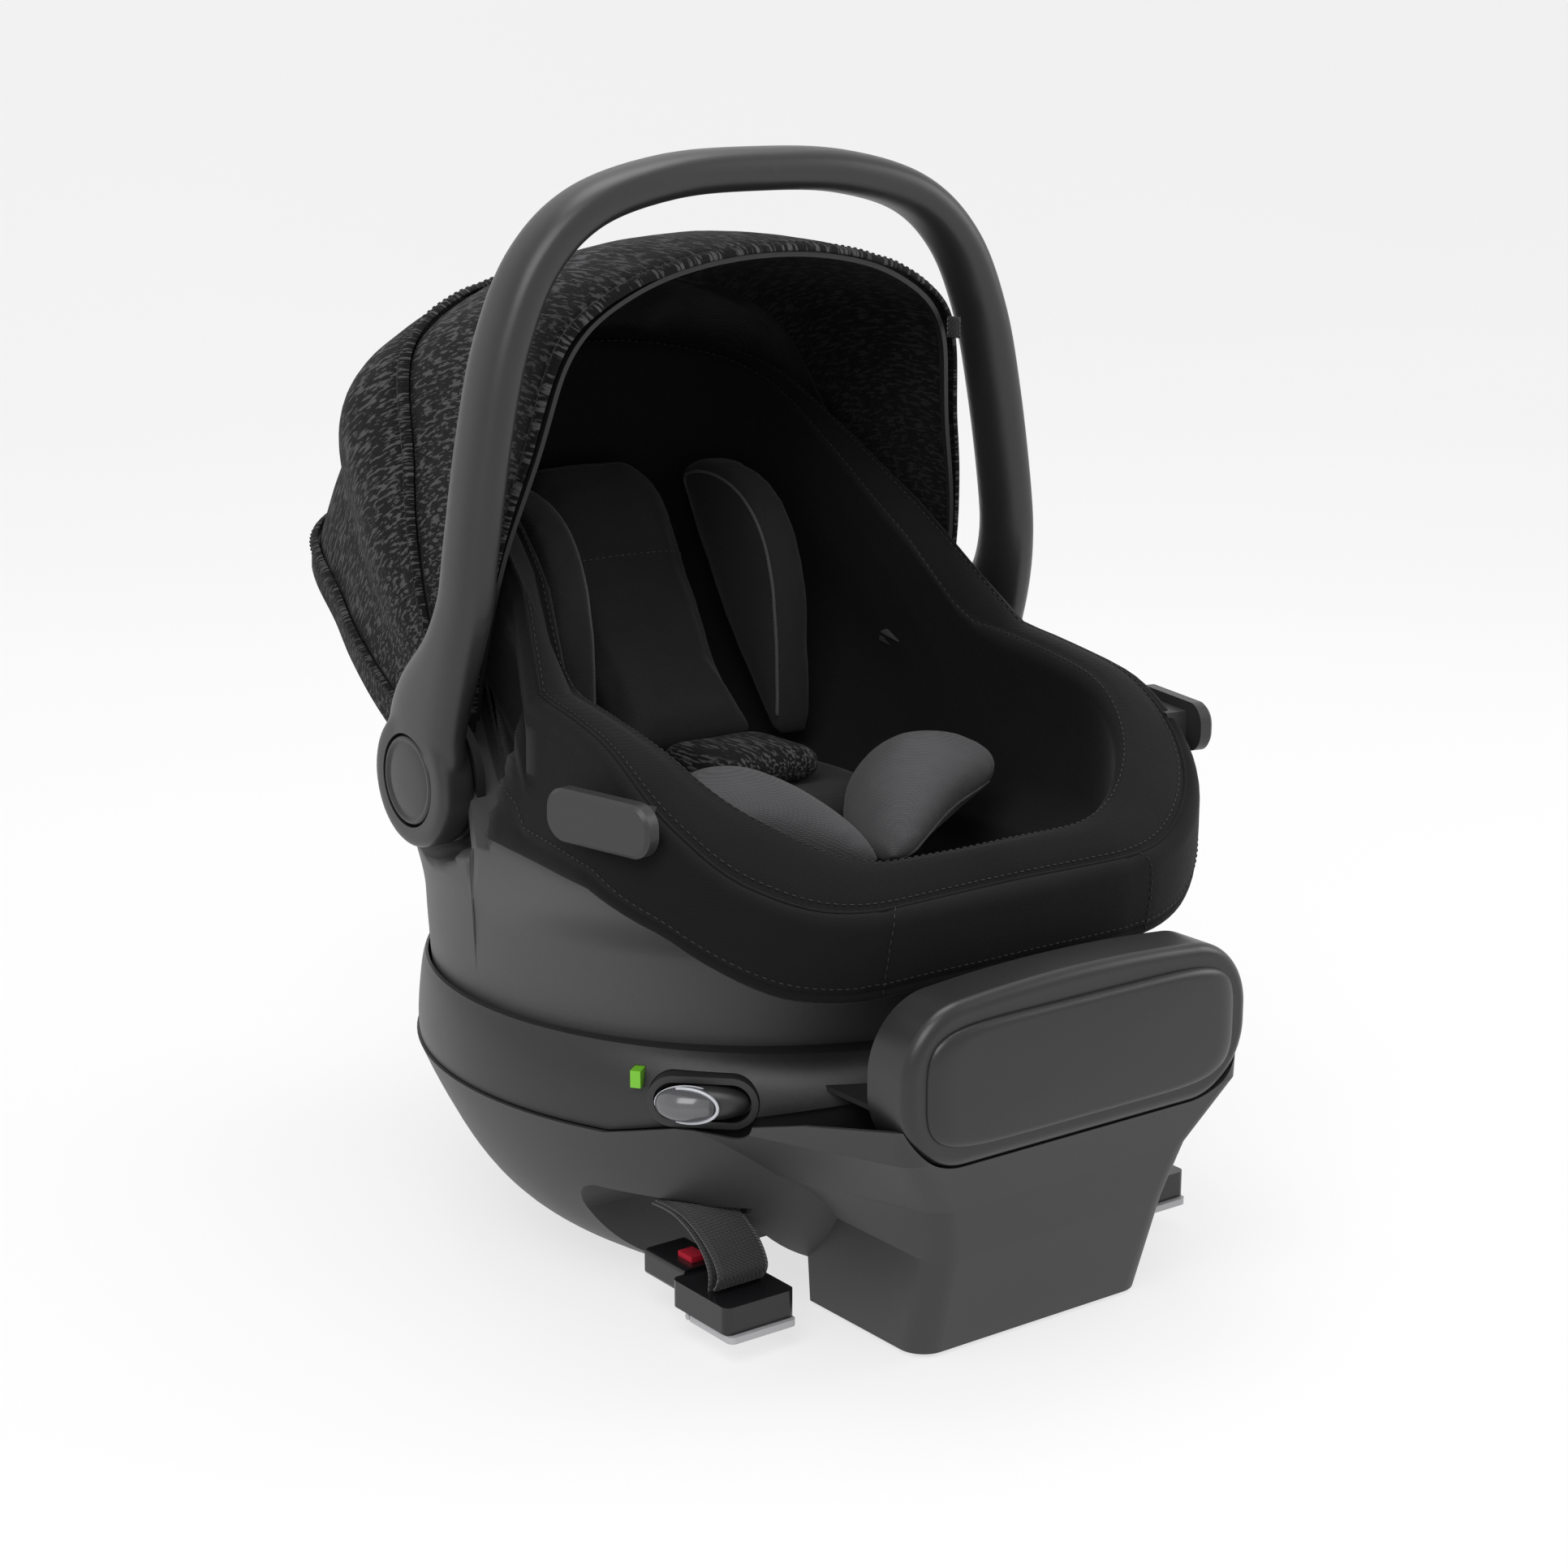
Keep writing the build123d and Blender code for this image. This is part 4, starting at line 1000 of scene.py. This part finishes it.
def build_pads(shape):
    puffing, voxel, stitch = 1000 * shape.pad_puff, 1000 * shape.pad_voxel, 1000 * shape.stitch_length

    back = copy_of_node("body_insert", "body_insert_pad", 2.5)
    puff(back, puffing, 4.0, voxel)

    def narrow_below(co):
        t = np.clip((co[:, 2] - 262) / 185, 0, 1)
        width = 0.80 + 0.20 * soft_step(t * 1.5)
        top = np.sqrt(np.clip(1 - ((co[:, 2] - 384) / 63.5).clip(0, 1)**2.2, 0, 1))
        co[:, 0] *= width * (0.08 + 0.98 * top)
        return co
    reshape(back, narrow_below)
    soften(back, 4)
    finish_pad(back, "insert", "carrier", "body_insert", shape.fill, 0.5, 0.7)
    across = [(x, 150, 387 - 0.0006 * x * x) for x in np.linspace(-54, 54, 50)]
    line = lay_on(back, across, (0, 1, -0.35), 0.3)
    rows = [line, line + [0, 0, -5.0]]
    stitch_row("body_insert_stitches", rows, "carrier", "grey_thread", stitch)

    seat = copy_of_node("seat_cushion", "seat_cushion_pad", 1.5)
    puff(seat, 3.0, 3.0, voxel)
    finish_pad(seat, "insert", "carrier", "seat_cushion", shape.fill, 0.4, 2.1)

    belly = copy_of_node("belly_pad", "belly_pad_heather", 2.5)
    puff(belly, 5.0, 4.0, voxel)
    soften(belly, 6)
    finish_pad(belly, "heather_pad", "carrier", "belly_pad", shape.fill, 0.4, 1.1)

    foot, crown = np.array([76.0, 264.0]), np.array([190.0, 436.0])
    along = (crown - foot) / np.linalg.norm(crown - foot)
    front = np.array([-along[1], along[0]])
    outline = []
    for t in np.linspace(0, 1, 40):
        bulge = 64 * math.sin(math.pi * t ** 1.5) ** 0.62 if 0 < t < 1 else 0
        outline.append(foot + (crown - foot) * t + front * bulge)
    for t in np.linspace(1, 0, 16)[1:-1]:
        outline.append(foot + (crown - foot) * t - front * 9 * math.sin(math.pi * t))
    outline = resample(outline, 90, True)
    flank = [(-98, y, z) for y, z in outline]
    wing = rounded_slab("head_wing_left_pad", flank, (1, 0, 0), 30, 6, None, 3.0, 4)
    puff(wing, 5.0, 4.0, voxel)
    soften(wing, 5)
    finish_pad(wing, "insert", "carrier", "head_wing_left", shape.fill, 0.4, 0.2)
    inner = [(-76, *(outline.mean(0) + (p - outline.mean(0)) * 0.9)) for p in outline[:66]]
    edge = lay_on(wing, np.array(inner) + [20, 0, 0], (-1, 0, 0), 0.1)
    bead = tube("head_wing_left_piping", spline_through(edge[2:-2:3], 120), 1.1, MATERIALS["pads"], 8)
    place(bead, "carrier")
    twin = mirrored(apply_modifiers(wing), "head_wing_right_pad")
    place(twin, "carrier", ["head_wing_right"])
    place(mirrored(bead, "head_wing_right_piping"), "carrier")

    tip, heel = np.array([-2.5, -108.0, 243.0]), np.array([-123.0, -78.0, 276.0])
    rings, ridge = [], []
    for t in np.linspace(0.004, 0.996, 46):
        wide = 42 * math.sin(math.pi * min(1, 0.02 + t ** 0.8)) ** 0.5 + 1
        high = 34 * math.sin(math.pi * min(1, t ** 0.9)) ** 0.6 + 1
        centre = tip + (heel - tip) * t + np.array([0, 26, 4]) * math.sin(math.pi * t)
        ring = []
        for a in around(40):
            c, v = math.cos(a), math.sin(a)
            lift = high * (1.0 if v > 0 else 0.62)
            ring.append(centre + [0, -wide * bent(c, 1.25), lift * bent(v, 0.9)])
        ridge.append(ring[0])
        rings.append(ring)
    hip = fix_normals(grid_piece("hip_pad_left_cushion", rings, None, wrap_columns=True, caps=True))
    puff(hip, 5.0, 3.0, voxel)
    soften(hip, 3)
    finish_pad(hip, "pads", "carrier", "hip_pad_left", shape.fill, 0.5, 1.9)
    laid = lay_on(hip, np.array(ridge[3:-6]) + [0, -30, -8], (0, 1, 0.12), 0.1)
    laid = spline_through(laid[::4], 90)
    bead = tube("hip_pad_left_piping", laid, 0.9, MATERIALS["pads"], 8)
    place(bead, "carrier")
    place(mirrored(bead, "hip_pad_right_piping"), "carrier")
    twin = mirrored(apply_modifiers(hip), "hip_pad_right_cushion")
    place(twin, "carrier", ["hip_pad_right"])


# ---- the handle ---------------------------------------------------------------------------------
def build_handle():
    line = spline_through(np.vstack([ARM, ARM[-2::-1] * [-1, 1, 1, 1, 1]]), 260)
    tangent = np.gradient(line[:, :3], axis=0)
    tangent /= np.linalg.norm(tangent, axis=1)[:, None]
    fore = np.array([0, 1, 0]) - tangent * tangent[:, 1:2]
    fore /= np.linalg.norm(fore, axis=1)[:, None]
    out = np.cross(tangent, fore)
    a = around(ARM_SIDES)
    c, s = (bent(f(a), 2 / ARM_SQUARENESS)[:, None] for f in (np.cos, np.sin))
    rings = [p[:3] + out[i] * p[3] / 2 * c + fore[i] * p[4] / 2 * s for i, p in enumerate(line)]
    parts = [fix_normals(grid_piece("handle_shell", rings, None, wrap_columns=True, caps=True))]
    for side in (-1, 1):
        profile = [(side * (HUB_OUTER - 0.3 - d), HUB_R - e) for d, e in HUB_EDGE]
        parts.append(lathe_x("hub_disc_%d" % (side + 1), profile, HUB_Y, HUB_Z, None, 96))
    handle = join("handle_shell", parts)
    modify(handle, "REMESH", mode="VOXEL", voxel_size=0.002, use_smooth_shade=True)
    apply_modifiers(handle)
    soften(handle, 7, 0.6)
    cutters = []
    for side in (-1, 1):
        for number, (r, start, end) in enumerate((CAP_WELL, CAP_BORE)):
            profile = [(side * start, r), (side * end, r)]
            cutters.append(lathe_x("cut_%d_%d" % (side, number), profile, HUB_Y, HUB_Z, None, 96))
    for cutter in cutters:
        modify(handle, "BOOLEAN", operation="DIFFERENCE", object=cutter, solver="EXACT")
        apply_modifiers(handle)
        bpy.data.objects.remove(cutter)
    handle.data.materials.clear()
    handle.data.materials.append(MATERIALS["handle"])
    modify(handle, "EDGE_SPLIT", split_angle=math.radians(40))
    apply_modifiers(handle)
    place(handle, "handle", ["handle_arch"])
    for side, label in ((-1, "left"), (1, "right")):
        profile = [(side * x, r) for x, r in CAP]
        cap = lathe_x("handle_cap_" + label, profile, HUB_Y, HUB_Z, MATERIALS["handle"], 96)
        place(cap, "handle_key_" + label, ["handle_button_" + label])


# ---- the base's small parts ---------------------------------------------------------------------
def build_rotate_levers():
    long, deep, high = NOSE
    for side, label in ((-1, "left"), (1, "right")):
        angle = math.radians(LEVER_ANGLE[label])
        out = np.array([math.cos(angle), math.sin(angle), 0])
        along = np.array([-out[1], out[0], 0]) * -side
        base = out * LEVER_REACH + up(LEVER_Z)
        body = "rotate_key_" + label
        outline = []
        for a in around(72):
            c, s = math.cos(a), math.sin(a)
            taper = 1.0 if c > 0 else 0.78 ** abs(c)
            outline.append(base + along * (26.4 * bent(c, 0.85)) + up(10.0 * s * taper))
        lever = rounded_slab("rotate_lever_" + label, outline, out, 19, 7.5, MATERIALS["handle"], 2.5, 6)
        place(lever, body, ["rotate_button_" + label])
        centre = base - along * 8.0 + out * 15.5
        rings = []
        for lat in np.linspace(-0.495 * np.pi, 0.495 * np.pi, 22):
            round_it = math.cos(lat)
            rings.append([centre + along * long * math.sin(lat) + out * deep * round_it * math.cos(lon)
                          + up(high * round_it ** 0.8 * math.sin(lon)) for lon in around(44)])
        name = "rotate_lever_nose_" + label
        nose = fix_normals(grid_piece(name, rings, MATERIALS["lever"], wrap_columns=True, caps=True))
        place(nose, body)
        # Painted highlights: a pale arc along the nose's right side and a thin pale ring round its base stand in
        # for the light caught on the nose's edge.
        arc = [centre + along * (long * math.cos(a)) + out * (7.2 * max(0.0, 1 - abs(a) / 2.2) ** 0.5 - 1.0)
               + up(high * math.sin(a)) for a in np.linspace(-1.9, 1.9, 60)]
        foot = [centre + along * (long + 0.3) * math.cos(a) - out + up((high + 0.3) * math.sin(a))
                for a in around(80)]
        beads = [tube("rim_arc", arc, 1.0, MATERIALS["bright"], 8),
                 tube("rim_base", foot, 0.45, MATERIALS["bright"], 8, True)]
        place(join("rotate_lever_rim_" + label, beads), body)


def ribbon(name, path, width, thick, material, x):
    """A flat strap: path is in side view, y and z."""
    line = spline_through(path, 90)
    rows = [[(x + s * width / 2, y, z) for s in np.linspace(-1, 1, 9)] for y, z in line]
    obj = grid_piece(name, np.array(rows), material)
    fix_normals(obj)
    thicken(obj, thick, 0)
    return obj


def build_bar_panel():
    """The bar's pillowed face panel."""
    outline = []
    for a in around(120):
        outline.append((112 * bent(math.cos(a), 0.28), -301.6, 173.5 + 35.5 * bent(math.sin(a), 0.55)))
    outline = resample(outline, 160, True)
    panel = rounded_slab("rebound_bar_panel", outline, (0, -1, 0), 5.6, 5.2, MATERIALS["bar"], 1.6, 8)
    place(panel, "base", ["rebound_panel"])


def build_webbing():
    for side, label in ((-1, "left"), (1, "right")):
        x, weave = side * STRAP_X, MATERIALS["webbing"]
        strap = ribbon("anchor_strap_" + label, STRAP, STRAP_WIDTH, 1.4, weave, x)
        place(strap, "base", ["anchor_webbing_" + label])
        fold = ribbon("anchor_strap_fold_" + label, FOLD, STRAP_WIDTH - 1, 1.3, weave, x)
        place(fold, "base")


# ---- the stage ----------------------------------------------------------------------------------
def build_stage():
    scene = bpy.context.scene
    sweep = [(3.2 + 2.6 * math.sin(t), 2.6 - 2.6 * math.cos(t)) for t in np.linspace(0.1, 1.57, 14)]
    side = [(-30, 0), (3.2, 0), *sweep, (5.8, 9)]
    points = [(x, y, z - 0.0005) for y, z in side for x in (-30, 30)]
    floor_mesh = bpy.data.meshes.new("studio_floor")
    faces = [(2 * k, 2 * k + 1, 2 * k + 3, 2 * k + 2) for k in range(len(side) - 1)]
    floor_mesh.from_pydata(points, [], faces)
    floor_mesh.polygons.foreach_set("use_smooth", [True] * len(floor_mesh.polygons))
    floor = bpy.data.objects.new("studio_floor", floor_mesh)
    scene.collection.objects.link(floor)
    paper = Nodes("studio_paper", (0.22, 0.22, 0.22), 0.9)
    paper.shader.inputs["Emission Color"].default_value = (1, 1, 1, 1)
    paper.shader.inputs["Emission Strength"].default_value = 0.70
    paper.shader.inputs["Specular IOR Level"].default_value = 0.1
    tone = paper.noise(paper.place((1, 1, 1)), 0.8, 1, 0.5)
    paper.link(paper.ramp(tone, [(0.0, (0.21, 0.21, 0.21)), (1.0, (0.23, 0.23, 0.23))]), "Base Color")
    floor_mesh.materials.append(paper.material)
    world = bpy.data.worlds.new("studio")
    scene.world = world
    world.use_nodes = True
    world.node_tree.nodes["Background"].inputs[0].default_value = (1, 1, 1, 1)
    world.node_tree.nodes["Background"].inputs[1].default_value = 0.72
    for name, place_at, aim, size, power in (
            ("key_light", (-1.5, -1.2, 2.4), (0, 0, 0.3), 1.8, 40),
            ("top_light", (0.3, 0.5, 2.8), (0, 0, 0.3), 1.6, 26),
            ("side_light", (1.9, -0.9, 1.2), (0, 0, 0.3), 1.0, 10)):
        light = bpy.data.lights.new(name, "AREA")
        light.size, light.energy = size, power
        lamp = bpy.data.objects.new(name, light)
        lamp.location = place_at
        lamp.rotation_euler = (Vector(aim) - Vector(place_at)).to_track_quat("-Z", "Y").to_euler()
        scene.collection.objects.link(lamp)
    lens = bpy.data.cameras.new("camera")
    lens.lens, lens.sensor_width = 68.90, 36
    camera = bpy.data.objects.new("camera", lens)
    camera.location = (-1.05831, -1.45580, 0.72561)
    aim = Vector((0, -0.024216, 0.269511)) - camera.location
    camera.rotation_euler = aim.to_track_quat("-Z", "Y").to_euler()
    scene.collection.objects.link(camera)
    scene.camera = camera
    scene.view_settings.view_transform = "Standard"
    scene.view_settings.look = "None"


# ---- the add-on ---------------------------------------------------------------------------------
PAINT = {
    "lower_body": "base", "upper_housing": "collar", "rebound_bar": "bar", "rebound_panel": "bar",
    "grip_pads": "rubber", "bearing_ring": "nylon", "spindle": "steel", "spindle_nut": "steel",
    "housing_screws": "steel", "turntable": "shell", "dock_bar_front": "steel", "dock_bar_rear": "steel",
    "dock_frame": "hidden", "canopy_rear_bow": "hidden", "canopy_mid_bow": "hidden",
    "canopy_front_bow": "hidden", "release_trigger": "handle",
}
PAIRS = {
    "rotate_bezel": "collar", "rotate_indicator": "green", "webbing_adjuster": "gloss_black",
    "anchor_connector": "gloss_black", "anchor_release_key": "red", "adjuster_lever": "grey_lever",
    "belt_guide": "guide", "belt_guide_bracket": "guide", "handle_mount": "hidden",
}
for pair, finish in PAIRS.items():
    PAINT[pair + "_left"] = PAINT[pair + "_right"] = finish


class CarSeatColours(bpy.types.PropertyGroup):
    def tint(name, value, text):
        return bpy.props.FloatVectorProperty(
            name=name, description=text, size=3, subtype="COLOR", min=0, max=1, default=value)

    shell: tint("Shell", (0.044, 0.044, 0.045), "Matte grey of the seat shell and turntable")
    base: tint("Base", (0.022, 0.022, 0.0225), "Matte grey of the lower body")
    collar: tint("Collar", (0.0125, 0.0125, 0.013), "Darker satin plastic round the turntable")
    bar: tint("Rebound bar", (0.0115, 0.0115, 0.012), "Satin plastic of the rebound bar")
    handle: tint("Handle", (0.0175, 0.0175, 0.018), "Smooth satin grey of the carry handle")
    guide: tint("Belt guides", (0.018, 0.018, 0.019), "Dark plastic of the belt guides")
    lever: tint("Rotate lever", (0.085, 0.085, 0.090), "Glossy nose of the rotate lever")
    cover: tint("Cover", (0.0042, 0.0042, 0.0046), "Near-black seat cover fabric")
    insert: tint("Insert", (0.0165, 0.0165, 0.0175), "Charcoal infant insert fabric")
    pads: tint("Hip pads", (0.070, 0.070, 0.073), "Mid-grey hip pad fabric")
    heather_dark: tint("Heather ground", (0.0052, 0.0052, 0.0056), "Ground of the heather jersey")
    heather_light: tint("Heather fleck", (0.062, 0.062, 0.065), "Pale dashes of the heather jersey")


class CarSeatShape(bpy.types.PropertyGroup):
    def share(name, text, default, low, high, kind="DISTANCE"):
        return bpy.props.FloatProperty(
            name=name, description=text, default=default, min=low, max=high, subtype=kind)

    pad_puff: share("Pad puff", "Most that a cushion's cloth swells", 0.007, 0, 0.016)
    pad_voxel: share("Cloth grid", "Spacing of the cloth grid on cushions", 0.005, 0.004, 0.006)
    stitch_length: share("Stitch", "Length of one stitch", 0.0032, 0.001, 0.01)
    piping: share("Piping", "Radius of the cover's piping", 0.0012, 0.0005, 0.004)
    fill: share("Fill", "How full the pads are, from slack to tight", 0.6, 0, 1, "FACTOR")


class CARSEAT_OT_materials(bpy.types.Operator):
    """Makes the finishes and paints the CAD parts that stay in view"""
    bl_idname, bl_label = "carseat.materials", "Finishes"

    def execute(self, context):
        build_materials(context.scene.carseat_colours)
        for name, key in PAINT.items():
            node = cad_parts[name]
            node.data.materials.clear()
            node.data.materials.append(MATERIALS[key])
        return {"FINISHED"}


class CARSEAT_OT_shell(bpy.types.Operator):
    """Builds the seat shell's smooth skin"""
    bl_idname, bl_label = "carseat.shell", "Seat shell"

    def execute(self, context):
        build_shell()
        return {"FINISHED"}


class CARSEAT_OT_cover(bpy.types.Operator):
    """Builds the fabric cover with its seams and stitches"""
    bl_idname, bl_label = "carseat.cover", "Seat cover"

    def execute(self, context):
        build_cover(context.scene.carseat_shape)
        return {"FINISHED"}


class CARSEAT_OT_pads(bpy.types.Operator):
    """Builds the body insert, cushion, head wings, hip pads and belly pad"""
    bl_idname, bl_label = "carseat.pads", "Pads"

    def execute(self, context):
        build_pads(context.scene.carseat_shape)
        return {"FINISHED"}


class CARSEAT_OT_canopy(bpy.types.Operator):
    """Builds the three canopy panels, their stitches and the side tag"""
    bl_idname, bl_label = "carseat.canopy", "Canopy"

    def execute(self, context):
        build_canopy(context.scene.carseat_shape)
        return {"FINISHED"}


class CARSEAT_OT_handle(bpy.types.Operator):
    """Builds the carry handle and its hub caps"""
    bl_idname, bl_label = "carseat.handle", "Handle"

    def execute(self, context):
        build_handle()
        return {"FINISHED"}


class CARSEAT_OT_base(bpy.types.Operator):
    """Builds the rotate levers, the bar's panel and the anchor straps"""
    bl_idname, bl_label = "carseat.base", "Base fittings"

    def execute(self, context):
        build_rotate_levers()
        build_bar_panel()
        build_webbing()
        return {"FINISHED"}


class CARSEAT_OT_stage(bpy.types.Operator):
    """Sets the floor, lights and camera"""
    bl_idname, bl_label = "carseat.stage", "Stage"

    def execute(self, context):
        build_stage()
        return {"FINISHED"}


OPERATORS = (CARSEAT_OT_materials, CARSEAT_OT_shell, CARSEAT_OT_cover, CARSEAT_OT_pads, CARSEAT_OT_canopy,
             CARSEAT_OT_handle, CARSEAT_OT_base, CARSEAT_OT_stage)


class CARSEAT_PT_panel(bpy.types.Panel):
    """Buttons that build the car seat's pieces"""
    bl_label, bl_space_type, bl_region_type, bl_category = "Infant Car Seat", "VIEW_3D", "UI", "Car Seat"

    def draw(self, context):
        for group in (context.scene.carseat_colours, context.scene.carseat_shape):
            for name in group.__annotations__:
                self.layout.prop(group, name)
        for operator in OPERATORS:
            self.layout.operator(operator.bl_idname)


CLASSES = (CarSeatColours, CarSeatShape, *OPERATORS, CARSEAT_PT_panel)


def register():
    for cls in CLASSES:
        bpy.utils.register_class(cls)
    bpy.types.Scene.carseat_colours = bpy.props.PointerProperty(type=CarSeatColours)
    bpy.types.Scene.carseat_shape = bpy.props.PointerProperty(type=CarSeatShape)


def unregister():
    del bpy.types.Scene.carseat_colours
    del bpy.types.Scene.carseat_shape
    for cls in reversed(CLASSES):
        bpy.utils.unregister_class(cls)


def main():
    register()
    for step in ("materials", "shell", "cover", "canopy", "handle", "base", "pads", "stage"):
        getattr(bpy.ops.carseat, step)()


if __name__ == "__main__":
    main()
